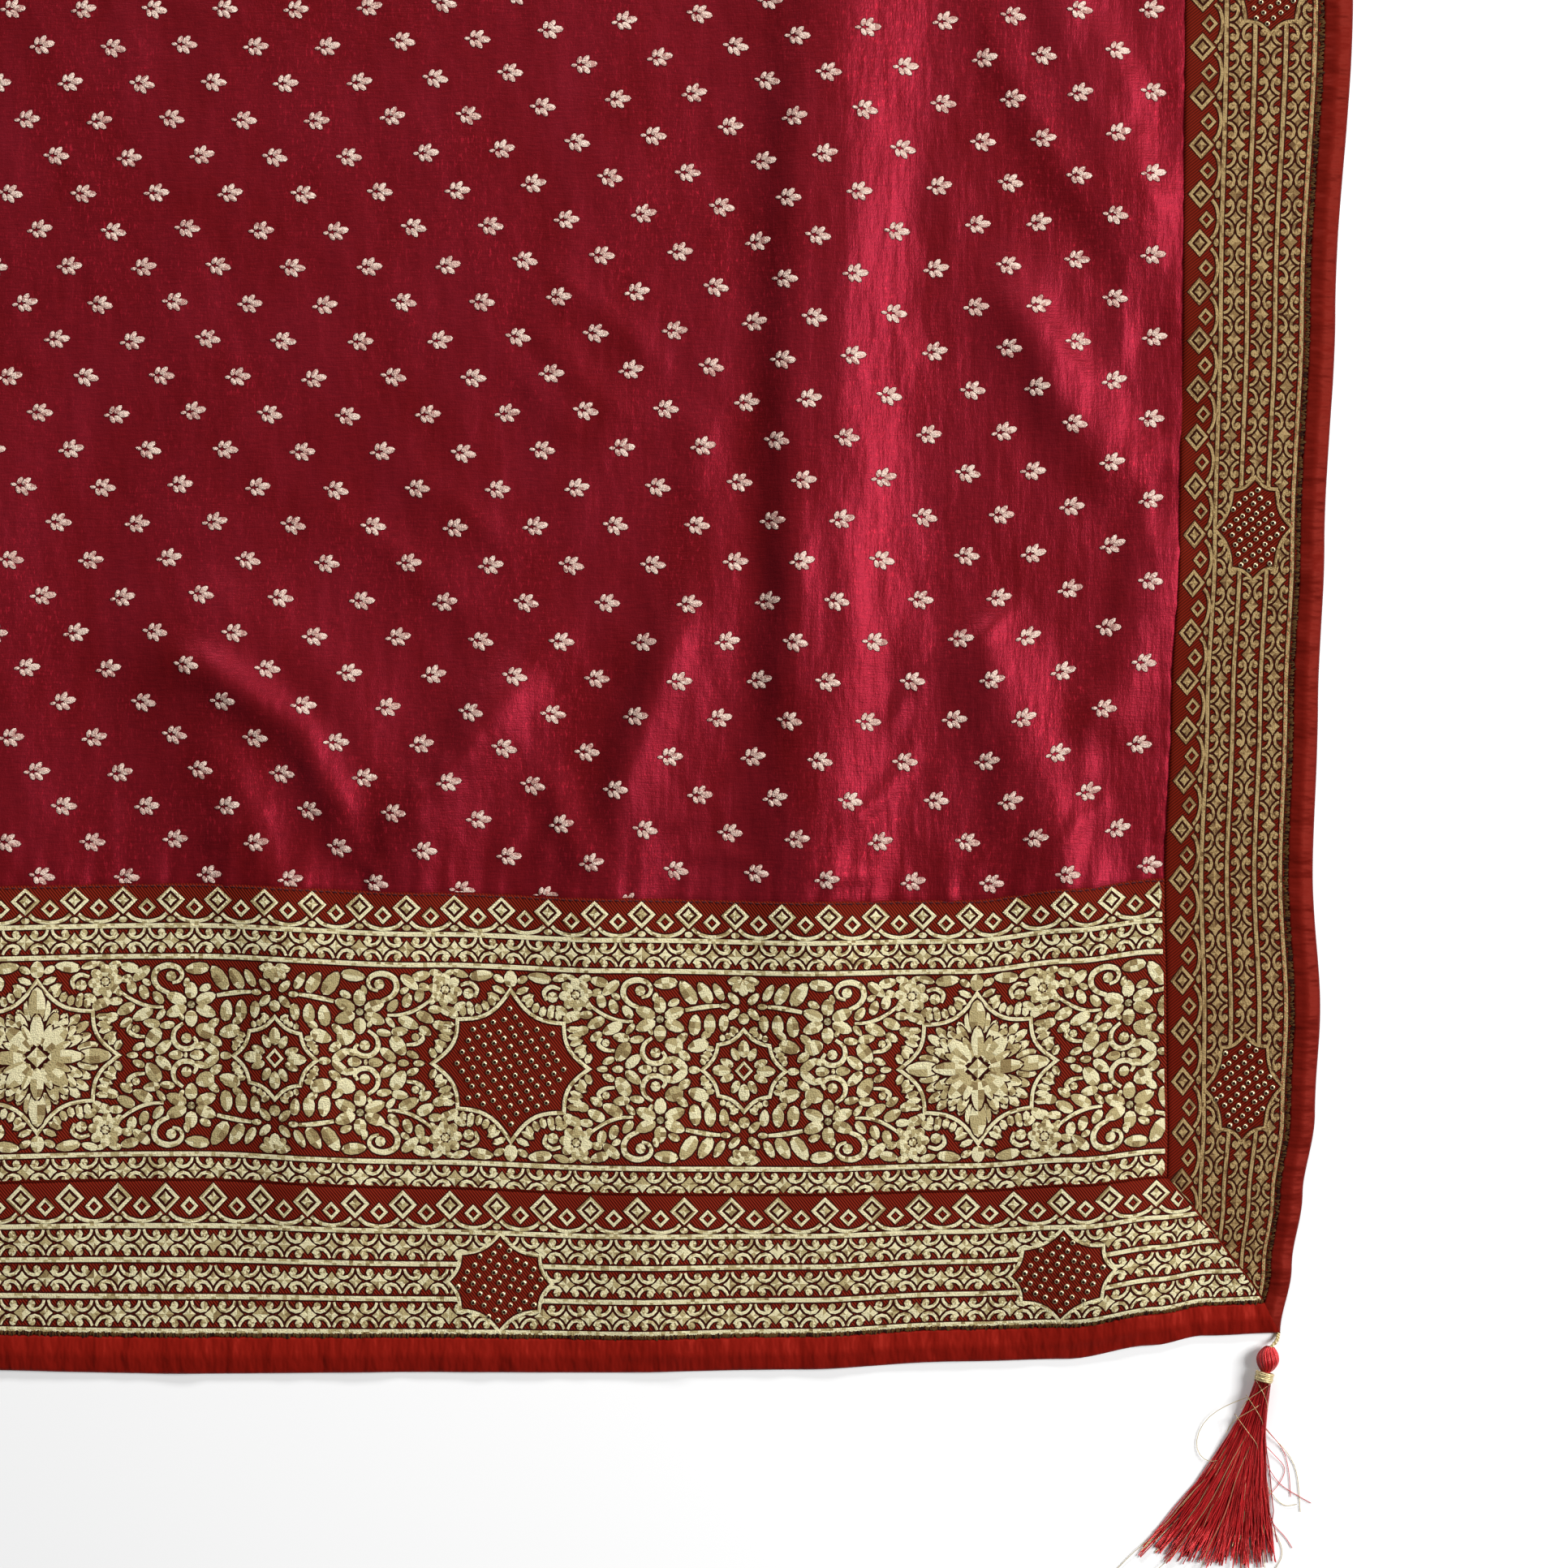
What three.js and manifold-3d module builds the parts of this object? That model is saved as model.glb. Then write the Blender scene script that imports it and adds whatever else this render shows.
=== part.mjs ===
// A saree laid flat: one long cloth with butta-woven ground, a wide brocade band and a narrow lace across the
// pallu end, the same lace along both long edges, a folded satin binding round the three trimmed sides, and a
// thread tassel at each pallu corner. Units are millimetres and +Z is up.
//
// The cut is described in cloth coordinates: u runs across the cloth from the right-hand edge, v runs along it
// from the pallu end. layOut() turns them into the place where that point of the cloth lies on the table, and
// relief() says how far a soft fold lifts it there. Every panel is a thin wall made from those two functions,
// so that neighbours follow each other along their seams.
//
// +X is across the cloth, towards the right-hand edge, and +Y is along it, away from the pallu end. The origin is
// on the table, in the middle of all that lies there.

import * as THREE from "three";
import { mergeVertices } from "three/addons/utils/BufferGeometryUtils.js";
import Module from "manifold-3d";

// ---------------------------------------------------------------- driving dimensions

const SAREE_LENGTH = 5500;
const SAREE_WIDTH = 1100;

const SIDE_BINDING = 10.5; // width of the satin binding on the long edges
const SIDE_LACE = 48; // width of the lace on the long edges
const END_BINDING = 13.5; // width of the satin binding on the pallu end
const END_LACE = 55; // width of the lace across the pallu end
const END_BAND = 113; // width of the brocade band across the pallu end

const FIELD_WALL = 1.2; // thickness of the ground cloth
const LACE_WALL = 1.6; // thickness of the stiffer woven trims
const HEM_WALL = 2; // the ground cloth turned under at the inner end
const HEM_WIDTH = 12;
const SEAM_GAP = 0.3;

const BINDING_WALL = { outer: 1.2, middle: 2.6, seam: 1.8 }; // the folded satin's thickness across its width

// Seam lines in cloth coordinates
const LACE_U = SIDE_BINDING;
const FIELD_U = SIDE_BINDING + SIDE_LACE;
const LACE_V = END_BINDING;
const BAND_V = END_BINDING + END_LACE;
const FIELD_V = END_BINDING + END_LACE + END_BAND;

// ---------------------------------------------------------------- how the cut lies on the table

// How far the right-hand edge lies outside its straight line: v along it, the outer fold, the seam to the ground.
const RIGHT_EDGE = [
  { v: 0, outer: -19.5, seam: -7 },
  { v: 28, outer: -15, seam: -5.5 },
  { v: 59, outer: -10.9, seam: -4.6 },
  { v: 90, outer: -6.2, seam: -4.3 },
  { v: 130, outer: -4.2, seam: -4.6 },
  { v: 180, outer: -7, seam: -5.3 },
  { v: 245, outer: -5, seam: -2.8 },
  { v: 310, outer: -2.5, seam: 0.2 },
  { v: 400, outer: 1.6, seam: 1.8 },
  { v: 524, outer: 8.4, seam: 2.6 },
  { v: 700, outer: 10, seam: 5 },
  { v: 1150, outer: 2, seam: 2 },
  { v: 1800, outer: -5, seam: -4 },
  { v: 2600, outer: 3, seam: 3 },
  { v: 3500, outer: -3, seam: -3 },
  { v: 4500, outer: 4, seam: 4 },
  { v: SAREE_LENGTH, outer: 0, seam: 0 },
];

// The same for the left-hand edge, which is straighter.
const LEFT_EDGE = [
  { v: 0, outer: -9, seam: -4 },
  { v: 110, outer: -3, seam: -2 },
  { v: 420, outer: 3, seam: 2 },
  { v: 1200, outer: -4, seam: -3 },
  { v: 2200, outer: 4, seam: 4 },
  { v: 3300, outer: -4, seam: -4 },
  { v: 4400, outer: 3, seam: 3 },
  { v: SAREE_LENGTH, outer: 0, seam: 0 },
];

// How far three lines across the pallu end are drawn up from straight: u along them, the outer fold, the seam
// from lace to band, the seam from band to ground.
const PALLU_END = [
  { u: 0, outer: 14.4, lace: 7.5, field: 9 },
  { u: 37, outer: 13.3, lace: 6.4, field: 7.8 },
  { u: 62, outer: 9.6, lace: 5.3, field: 6.4 },
  { u: 94, outer: 4.4, lace: 2.4, field: 2.6 },
  { u: 135, outer: 3.5, lace: -0.2, field: -1.9 },
  { u: 198, outer: 0.4, lace: -1.6, field: -2.3 },
  { u: 274, outer: -0.8, lace: -1.2, field: -1.1 },
  { u: 342, outer: -0.6, lace: 1, field: 1.1 },
  { u: 436, outer: -1.2, lace: 4.2, field: 4.5 },
  { u: 560, outer: 1, lace: 3, field: 3 },
  { u: 760, outer: -2, lace: -2, field: -2 },
  { u: 960, outer: 2, lace: 1, field: 0 },
  { u: SAREE_WIDTH, outer: 9, lace: 5, field: 4 },
];

const PULL_REACH = 380; // the edges' wander dies out this far inside the trims

// Soft folds: the crest runs as a quadratic curve from one point of the cloth to another, [u, v].
const FOLDS = [
  { from: [196, 40], bend: [190, 420], to: [186, 1250], spread: 17, rise: 8 },
  { from: [70, 405], bend: [96, 500], to: [150, 640], spread: 11, rise: 4.2 },
  { from: [68, 330], bend: [100, 350], to: [138, 440], spread: 10, rise: 3.6 },
  { from: [92, 232], bend: [70, 270], to: [64, 330], spread: 9, rise: 3.2 },
  { from: [90, 150], bend: [104, 235], to: [146, 300], spread: 11, rise: 4.6 },
  { from: [292, 130], bend: [258, 230], to: [226, 350], spread: 14, rise: 4.6 },
  { from: [372, 120], bend: [350, 205], to: [300, 275], spread: 13, rise: 4.6 },
  { from: [396, 20], bend: [372, 200], to: [470, 310], spread: 16, rise: 5.5 },
  { from: [84, 0], bend: [82, 50], to: [92, 110], spread: 20, rise: 6 },
  { from: [262, 0], bend: [256, 40], to: [250, 110], spread: 22, rise: 3 },
  { from: [520, 10], bend: [500, 200], to: [540, 420], spread: 24, rise: 6 },
  { from: [700, 0], bend: [690, 150], to: [640, 330], spread: 26, rise: 5 },
  { from: [905, 20], bend: [930, 300], to: [880, 700], spread: 24, rise: 7 },
  { from: [1010, 300], bend: [985, 420], to: [930, 560], spread: 20, rise: 4 },
  { from: [330, 560], bend: [360, 900], to: [300, 1500], spread: 34, rise: 7 },
  { from: [640, 700], bend: [700, 1100], to: [660, 1900], spread: 38, rise: 8 },
  { from: [120, 1300], bend: [150, 1700], to: [110, 2300], spread: 34, rise: 6 },
  { from: [900, 1100], bend: [860, 1700], to: [930, 2400], spread: 38, rise: 7 },
  { from: [400, 1700], bend: [360, 2100], to: [300, 2560], spread: 36, rise: 6 },
  { from: [250, 3000], bend: [280, 3500], to: [230, 4100], spread: 38, rise: 7 },
  { from: [760, 2950], bend: [700, 3500], to: [800, 4200], spread: 40, rise: 8 },
  { from: [480, 3500], bend: [520, 4000], to: [470, 4700], spread: 38, rise: 7 },
  { from: [960, 3700], bend: [930, 4300], to: [980, 4900], spread: 34, rise: 6 },
  { from: [180, 4500], bend: [210, 4900], to: [160, 5300], spread: 36, rise: 6 },
  { from: [700, 4600], bend: [740, 5000], to: [690, 5450], spread: 38, rise: 6 },
];

const CREST_STEPS = 12; // samples of a crest used to find the nearest point
const FADE_SHARE = 0.22; // each end of a fold dies out over this share of its length
const LYING_FLAT = 0.35; // lifts smaller than this lie flat on the table

const smooth = (t) => t * t * (3 - 2 * t);
const clamp01 = (t) => Math.min(1, Math.max(0, t));
const mix = (a, b, t) => a + (b - a) * t;

// Reads one column of a table at a place, easing from row to row.
function readTable(rows, key, at, column) {
  let i = 1;
  while (i < rows.length - 1 && rows[i][key] < at) i++;
  const a = rows[i - 1];
  const b = rows[i];
  return mix(a[column], b[column], smooth(clamp01((at - a[key]) / (b[key] - a[key]))));
}

// Where the point (u, v) of the cut lies on the table, as [x, y].
function layOut(u, v) {
  const fromLeft = SAREE_WIDTH - u;
  const right = sidePull(RIGHT_EDGE, u, v);
  const left = sidePull(LEFT_EDGE, fromLeft, v);
  return [SAREE_WIDTH / 2 - u + right - left, v - SAREE_LENGTH / 2 + endPull(u, v)];
}

// How far an edge's wander moves a point that lies `inside` millimetres in from that edge.
function sidePull(edge, inside, v) {
  const outer = readTable(edge, "v", v, "outer");
  const seam = readTable(edge, "v", v, "seam");
  if (inside < FIELD_U) return mix(outer, seam, inside / FIELD_U);
  return seam * (1 - smooth(clamp01((inside - FIELD_U) / PULL_REACH)));
}

function endPull(u, v) {
  const outer = readTable(PALLU_END, "u", u, "outer");
  const lace = readTable(PALLU_END, "u", u, "lace");
  const field = readTable(PALLU_END, "u", u, "field");
  if (v < BAND_V) return mix(outer, lace, v / BAND_V);
  if (v < FIELD_V) return mix(lace, field, (v - BAND_V) / END_BAND);
  return field * (1 - smooth(clamp01((v - FIELD_V) / PULL_REACH)));
}

// Points along a fold's crest, worked out once.
const CRESTS = FOLDS.map(({ from, bend, to }) =>
  Array.from({ length: CREST_STEPS + 1 }, (_, i) => {
    const t = i / CREST_STEPS;
    return [0, 1].map((k) => mix(mix(from[k], bend[k], t), mix(bend[k], to[k], t), t));
  }),
);

// The nearest place on a crest to (u, v): its distance, and its share of the way along.
function nearestOnCrest(crest, u, v) {
  let best = { distance: Infinity, share: 0 };
  for (let i = 0; i < CREST_STEPS; i++) {
    const [ax, ay] = crest[i];
    const dx = crest[i + 1][0] - ax;
    const dy = crest[i + 1][1] - ay;
    const t = clamp01(((u - ax) * dx + (v - ay) * dy) / (dx * dx + dy * dy));
    const distance = Math.hypot(u - ax - t * dx, v - ay - t * dy);
    if (distance < best.distance) best = { distance, share: (i + t) / CREST_STEPS };
  }
  return best;
}

// How far the folds lift the cloth off the table at (u, v).
function relief(u, v) {
  let lift = 0;
  FOLDS.forEach(({ spread, rise }, k) => {
    const { distance, share } = nearestOnCrest(CRESTS[k], u, v);
    const fade = smooth(clamp01(Math.min(share, 1 - share) / FADE_SHARE));
    lift += rise * fade * Math.exp(-((distance / spread) ** 2) / 2);
  });
  return Math.max(0, lift - LYING_FLAT);
}

// ---------------------------------------------------------------- walls of cloth

// Even steps from one place to another, both included.
const steps = (from, to, count) => Array.from({ length: count + 1 }, (_, i) => mix(from, to, i / count));

// A closed wall of cloth from a grid of its (u, v) points, rows by columns, with u rising along a row and v from
// row to row. wall(u, v, row, column) is its thickness there.
function clothWall(grid, wall) {
  const rows = grid.length;
  const columns = grid[0].length;
  const positions = [];
  for (const top of [0, 1]) {
    grid.forEach((line, j) =>
      line.forEach(([u, v], i) => {
        const [x, y] = layOut(u, v);
        positions.push(x, y, relief(u, v) + top * wall(u, v, j, i));
      }),
    );
  }
  const layer = rows * columns;
  const at = (j, i, top) => top * layer + j * columns + i;
  const triangles = [];
  const quad = (a, b, c, d) => triangles.push(a, b, c, a, c, d);
  for (let j = 0; j < rows - 1; j++) {
    for (let i = 0; i < columns - 1; i++) {
      quad(at(j, i, 1), at(j + 1, i, 1), at(j + 1, i + 1, 1), at(j, i + 1, 1));
      quad(at(j, i, 0), at(j, i + 1, 0), at(j + 1, i + 1, 0), at(j + 1, i, 0));
    }
  }
  const rim = (j0, i0, j1, i1) => quad(at(j0, i0, 0), at(j0, i0, 1), at(j1, i1, 1), at(j1, i1, 0));
  for (let i = 0; i < columns - 1; i++) {
    rim(0, i, 0, i + 1);
    rim(rows - 1, i + 1, rows - 1, i);
  }
  for (let j = 0; j < rows - 1; j++) {
    rim(j + 1, 0, j, 0);
    rim(j, columns - 1, j + 1, columns - 1);
  }
  const geometry = new THREE.BufferGeometry();
  geometry.setAttribute("position", new THREE.Float32BufferAttribute(positions, 3));
  geometry.setIndex(triangles);
  geometry.computeVertexNormals();
  return geometry;
}

// The columns and rows that the panels share. Close to the pallu corners they run at a slant, from the mitred
// ends of the trims to a straight line at CORNER_U or FIELD_V.
const CORNER_U = 150;
const CORNER_SHARES = steps(0, 1, 4);
const MIDDLE_COLUMNS = [
  ...[168, 182, 194, 206, 220, 240, 264, 292, 322, 352, 386, 424],
  ...steps(468, SAREE_WIDTH - CORNER_U, 9),
];
const FRAMED_ROWS = steps(FIELD_V, 560, 12);
const FAR_ROWS = steps(680, SAREE_LENGTH - HEM_WIDTH, 21);
const ROWS = [...FRAMED_ROWS, ...FAR_ROWS, SAREE_LENGTH];

// The trims' mitre: for a point `inside` a long edge, how far from the pallu end the mitre lies, and back again.
const mitreV = (u) => (u < LACE_U ? (u / LACE_U) * LACE_V : LACE_V + ((u - LACE_U) / SIDE_LACE) * END_LACE);
const mitreU = (v) => (v < LACE_V ? (v / LACE_V) * LACE_U : LACE_U + ((v - LACE_V) / END_LACE) * SIDE_LACE);

const HALF_GAP = SEAM_GAP / 2;
const MITRE_GAP = 0.25; // half the mitre's gap, measured along a row, which crosses it at a slant

// One row of a panel across the pallu end, at v, from one mitre to the other.
function endRow(v, start) {
  const corner = CORNER_SHARES.map((t) => mix(start, CORNER_U, t));
  const mirrored = corner.map((u) => SAREE_WIDTH - u).reverse();
  return [...corner, ...MIDDLE_COLUMNS, ...mirrored].map((u) => [u, v]);
}

// A panel across the pallu end, between two seams, with mitred ends. wall(share) is its thickness, by the share
// of the way in from its outer seam.
function endPanel(outerV, innerV, count, wall) {
  const grid = steps(outerV, innerV, count).map((v) => endRow(v, mitreU(v) + MITRE_GAP));
  return clothWall(grid, (u, v, row) => wall(row / count));
}

// A panel along one long edge, between two seams, with a mitred pallu end. The left one mirrors the right one.
function sidePanel(outerU, innerU, count, onLeft, wall) {
  const columns = steps(outerU, innerU, count);
  const slanted = CORNER_SHARES.slice(0, -1).map((t) =>
    columns.map((u) => [u, mix(mitreV(u) + MITRE_GAP, FIELD_V, t)]),
  );
  const rows = [...slanted, ...ROWS.map((v) => columns.map((u) => [u, v]))];
  const mirrored = rows.map((row) => row.map(([u, v]) => [SAREE_WIDTH - u, v]).reverse());
  return clothWall(onLeft ? mirrored : rows, (u, v, row, column) =>
    wall(onLeft ? 1 - column / count : column / count),
  );
}

const laceWall = () => LACE_WALL;

// The binding's thickness, by the share of the way in from its outer fold.
function bindingWall(share) {
  const { outer, middle, seam } = BINDING_WALL;
  return share < 0.5 ? mix(outer, middle, share * 2) : mix(middle, seam, share * 2 - 1);
}

function bandPanel() {
  const rows = steps(BAND_V + HALF_GAP, FIELD_V - HALF_GAP, 4);
  return clothWall(rows.map((v) => endRow(v, FIELD_U + HALF_GAP)), laceWall);
}

// The ground cloth, turned under to a hem at the inner end.
function fieldPanel() {
  const rows = [FIELD_V + HALF_GAP, ...ROWS.slice(1)];
  const hem = SAREE_LENGTH - HEM_WIDTH;
  return clothWall(
    rows.map((v) => endRow(v, FIELD_U + HALF_GAP)),
    (u, v) => (v >= hem ? HEM_WALL : FIELD_WALL),
  );
}

// ---------------------------------------------------------------- tassels

// Lengths run along the tassel from the corner that it is sewn to.
const TASSEL = {
  lean: 0.2, // how far it swings from the cloth's length, in radians
  inset: 3.4, // how far from the corner it hangs
  loopEnd: 3.9,
  knotStart: 4.6,
  knotEnd: 14,
  knotRadius: 4.2,
  collarStart: 14.3,
  collarEnd: 18.2,
  collarRadius: 3.7,
  skirtStart: 18.5,
  skirtRadius: 3.1,
  length: 91,
  axisHeight: 4.6, // the axis of the knot above the table
};

// The threads lie fanned out, between these angles to the tassel's own line.
const SKIRT_FAN = { left: -0.46, right: 0.16 };

const LOOP_RADIUS = 0.7;
const SKIRT_LAYERS = [
  // strands: how many lie side by side; rootHeight and tipHeight: above the table; reach: share of the length
  { strands: 11, rootHeight: 3, tipHeight: 0.9, reach: 0.97 },
  { strands: 10, rootHeight: 4.6, tipHeight: 2.7, reach: 1 },
  { strands: 9, rootHeight: 6.2, tipHeight: 4.5, reach: 0.94 },
];
const STRAND_RADIUS = { root: 0.45, middle: 0.8, tip: 0.35 };
const STRAND_STEPS = 3;
const STRAND_SIDES = 3;

const wasm = await Module();
wasm.setup();

function toSolid(geometry) {
  const bare = geometry.clone();
  bare.deleteAttribute("normal");
  bare.deleteAttribute("uv");
  const merged = mergeVertices(bare, 1e-4);
  return new wasm.Manifold(
    new wasm.Mesh({
      numProp: 3,
      vertProperties: new Float32Array(merged.attributes.position.array),
      triVerts: new Uint32Array(merged.index.array),
    }),
  );
}

function toGeometry(solid) {
  const mesh = solid.getMesh();
  const geometry = new THREE.BufferGeometry();
  geometry.setAttribute("position", new THREE.BufferAttribute(new Float32Array(mesh.vertProperties), 3));
  geometry.setIndex(new THREE.BufferAttribute(new Uint32Array(mesh.triVerts), 1));
  geometry.computeVertexNormals();
  return geometry;
}

// A solid turned about the tassel's line, from [radius, distance along the tassel] pairs. It closes on the axis.
function turned(profile, sides) {
  const points = profile.map(([radius, along]) => new THREE.Vector2(radius, -along)).reverse();
  return new THREE.LatheGeometry(points, sides).translate(0, 0, TASSEL.axisHeight);
}

function knotGeometry() {
  const { knotStart, knotEnd, knotRadius } = TASSEL;
  const middle = (knotStart + knotEnd) / 2;
  const half = (knotEnd - knotStart) / 2;
  const profile = steps(0, Math.PI, 8).map((a) => [knotRadius * Math.sin(a) ** 0.8, middle - half * Math.cos(a)]);
  profile[0][0] = 0;
  profile[profile.length - 1][0] = 0;
  return turned(profile, 14);
}

function collarGeometry() {
  const { collarStart, collarEnd, collarRadius } = TASSEL;
  const edge = collarRadius - 0.7;
  const middle = (collarStart + collarEnd) / 2;
  return turned(
    [
      [0, collarStart],
      [edge, collarStart],
      [collarRadius, collarStart + 0.8],
      [edge + 0.3, middle],
      [collarRadius, collarEnd - 0.8],
      [edge, collarEnd],
      [0, collarEnd],
    ],
    14,
  );
}

// The thread that ties the tassel to the corner of the binding.
function loopGeometry() {
  const { loopEnd, axisHeight } = TASSEL;
  const route = new THREE.CatmullRomCurve3([
    new THREE.Vector3(2.4, 0, LOOP_RADIUS + 0.4),
    new THREE.Vector3(2.3, -1.8, axisHeight * 0.5),
    new THREE.Vector3(0.5, -loopEnd, axisHeight),
  ]);
  const section = new THREE.Shape().absarc(0, 0, LOOP_RADIUS, 0, 2 * Math.PI);
  return new THREE.ExtrudeGeometry(section, {
    extrudePath: route,
    steps: 5,
    curveSegments: 6,
    bevelEnabled: false,
  });
}

// One strand: a tapering prism from the collar to its tip, bowed as the skirt fans out.
function strandGeometry(angle, rootSide, layer, stray) {
  const { skirtStart, length } = TASSEL;
  const reach = (length - skirtStart) * (layer.reach + stray);
  const positions = [];
  const triangles = [];
  for (let j = 0; j <= STRAND_STEPS; j++) {
    const t = j / STRAND_STEPS;
    const along = skirtStart - 1 + (reach + 1) * t * Math.cos(angle * t);
    const across = rootSide + reach * t * Math.sin(angle * (0.45 + 0.55 * t));
    const height = mix(layer.rootHeight, layer.tipHeight, smooth(t));
    const { root, middle, tip } = STRAND_RADIUS;
    const radius = t < 0.5 ? mix(root, middle, t * 2) : mix(middle, tip, t * 2 - 1);
    for (let k = 0; k < STRAND_SIDES; k++) {
      const turn = Math.PI / 2 + (2 * Math.PI * k) / STRAND_SIDES;
      positions.push(across + radius * Math.cos(turn), -along, height + radius * Math.sin(turn));
    }
  }
  for (let j = 0; j < STRAND_STEPS; j++) {
    for (let k = 0; k < STRAND_SIDES; k++) {
      const a = j * STRAND_SIDES + k;
      const b = j * STRAND_SIDES + ((k + 1) % STRAND_SIDES);
      triangles.push(a, b, a + STRAND_SIDES, b, b + STRAND_SIDES, a + STRAND_SIDES);
    }
  }
  const end = STRAND_STEPS * STRAND_SIDES;
  triangles.push(0, 2, 1, end, end + 1, end + 2);
  const geometry = new THREE.BufferGeometry();
  geometry.setAttribute("position", new THREE.Float32BufferAttribute(positions, 3));
  geometry.setIndex(triangles);
  return geometry;
}

// The skirt: layers of strands, fused at their roots into a short core under the collar.
function skirtGeometry() {
  const { skirtStart, skirtRadius } = TASSEL;
  const core = turned(
    [
      [0, skirtStart],
      [skirtRadius, skirtStart],
      [skirtRadius, skirtStart + 3],
      [0, skirtStart + 7],
    ],
    12,
  );
  const pieces = [toSolid(core)];
  SKIRT_LAYERS.forEach((layer, n) => {
    for (let i = 0; i < layer.strands; i++) {
      const place = i / (layer.strands - 1);
      const angle = mix(SKIRT_FAN.left, SKIRT_FAN.right, place);
      const stray = 0.05 * Math.sin(7.3 * i + 2.1 * n);
      const strand = strandGeometry(angle, skirtRadius * 0.8 * (2 * place - 1), layer, stray);
      pieces.push(toSolid(strand).subtract(beforeSkirt()));
    }
  });
  return toGeometry(wasm.Manifold.union(pieces));
}

// A block that fills the space in front of the skirt, for trimming the strands' roots flush.
function beforeSkirt() {
  const depth = 6;
  const block = new THREE.BoxGeometry(30, depth, 30).translate(0, depth / 2 - TASSEL.skirtStart, 0);
  return toSolid(block);
}

// ---------------------------------------------------------------- the saree

const satin = () => new THREE.MeshStandardMaterial({ color: "#8f130f", roughness: 0.42, metalness: 0 });
const ground = () => new THREE.MeshStandardMaterial({ color: "#7a1228", roughness: 0.38, metalness: 0 });
const brocade = () => new THREE.MeshStandardMaterial({ color: "#a98f52", roughness: 0.5, metalness: 0.3 });
const zari = () => new THREE.MeshStandardMaterial({ color: "#b79a4e", roughness: 0.35, metalness: 0.6 });
const thread = () => new THREE.MeshStandardMaterial({ color: "#a31224", roughness: 0.45, metalness: 0 });

const saree = new THREE.Group();

function add(parent, name, geometry, material) {
  const mesh = new THREE.Mesh(geometry, material);
  mesh.name = name;
  parent.add(mesh);
}

// Hangs a tassel from a pallu corner. The left one mirrors the right one.
function addTassel(side, onLeft) {
  const outward = onLeft ? -1 : 1;
  const [x, y] = layOut(onLeft ? SAREE_WIDTH : 0, 0);
  const tassel = new THREE.Group();
  tassel.position.set(x - outward * TASSEL.inset, y - SEAM_GAP, 0);
  tassel.rotation.z = -outward * TASSEL.lean;
  saree.add(tassel);
  const pieces = [
    ["loop", loopGeometry(), zari()],
    ["knot", knotGeometry(), thread()],
    ["collar", collarGeometry(), zari()],
    ["skirt", skirtGeometry(), thread()],
  ];
  for (const [piece, geometry, material] of pieces) {
    const turnedOver = onLeft ? toGeometry(toSolid(geometry).mirror([1, 0, 0])) : geometry;
    add(tassel, `${side}_tassel_${piece}`, turnedOver, material);
  }
}

add(saree, "field_cloth", fieldPanel(), ground());
add(saree, "pallu_band", bandPanel(), brocade());
add(saree, "pallu_lace", endPanel(LACE_V + HALF_GAP, BAND_V - HALF_GAP, 3, laceWall), brocade());
add(saree, "pallu_binding", endPanel(0, LACE_V - HALF_GAP, 2, bindingWall), satin());

for (const side of ["right", "left"]) {
  const onLeft = side === "left";
  const lace = sidePanel(LACE_U + HALF_GAP, FIELD_U - HALF_GAP, 3, onLeft, laceWall);
  const binding = sidePanel(0, LACE_U - HALF_GAP, 2, onLeft, bindingWall);
  add(saree, `${side}_lace`, lace, brocade());
  add(saree, `${side}_binding`, binding, satin());
  addTassel(side, onLeft);
}

const lying = new THREE.Box3().setFromObject(saree, true);
const middle = lying.getCenter(new THREE.Vector3());
saree.position.set(-middle.x, -middle.y, -lying.min.z);

const part = new THREE.Group();
part.add(saree);

export default part;
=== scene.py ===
"""The looks of a saree that lies flat: silk, woven gold, satin binding, beads, stitches and tassel threads.

The cut is described in cloth coordinates in millimetres, as in the part's source: u runs across the cloth
from the right-hand edge, and v runs along it from the pallu end. lay_out() gives the place of (u, v) on the
table, and height() the height of the cloth's upper face there. Shells, motifs, beads and stitches are all
made in (u, v).
"""

import math

import bpy
import numpy as np
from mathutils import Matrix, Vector


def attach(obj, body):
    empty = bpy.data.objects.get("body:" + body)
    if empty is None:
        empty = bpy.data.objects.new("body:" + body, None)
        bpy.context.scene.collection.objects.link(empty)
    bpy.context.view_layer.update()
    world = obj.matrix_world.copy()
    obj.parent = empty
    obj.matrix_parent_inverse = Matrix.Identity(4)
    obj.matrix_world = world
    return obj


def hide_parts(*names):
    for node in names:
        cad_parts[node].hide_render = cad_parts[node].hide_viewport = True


MM = 0.001

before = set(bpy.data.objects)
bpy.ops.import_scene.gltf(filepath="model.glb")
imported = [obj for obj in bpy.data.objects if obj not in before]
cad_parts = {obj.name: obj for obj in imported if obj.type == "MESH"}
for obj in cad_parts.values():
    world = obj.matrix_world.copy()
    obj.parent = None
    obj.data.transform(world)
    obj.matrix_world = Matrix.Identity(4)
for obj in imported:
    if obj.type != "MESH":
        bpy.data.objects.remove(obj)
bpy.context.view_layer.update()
rng = np.random.default_rng(7)

# ---------------------------------------------------------------- the cut, as in the part's source

SAREE_LENGTH = 5500.0
SAREE_WIDTH = 1100.0
SIDE_BINDING, SIDE_LACE = 10.5, 48.0
END_BINDING, END_LACE, END_BAND = 13.5, 55.0, 113.0
FIELD_WALL, LACE_WALL, HEM_WALL, HEM_WIDTH = 1.2, 1.6, 2.0, 12.0
BINDING_WALL = (1.2, 2.6, 1.8)  # at its outer fold, its middle and its seam

LACE_U = SIDE_BINDING
FIELD_U = SIDE_BINDING + SIDE_LACE
LACE_V = END_BINDING
BAND_V = END_BINDING + END_LACE
FIELD_V = END_BINDING + END_LACE + END_BAND

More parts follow.
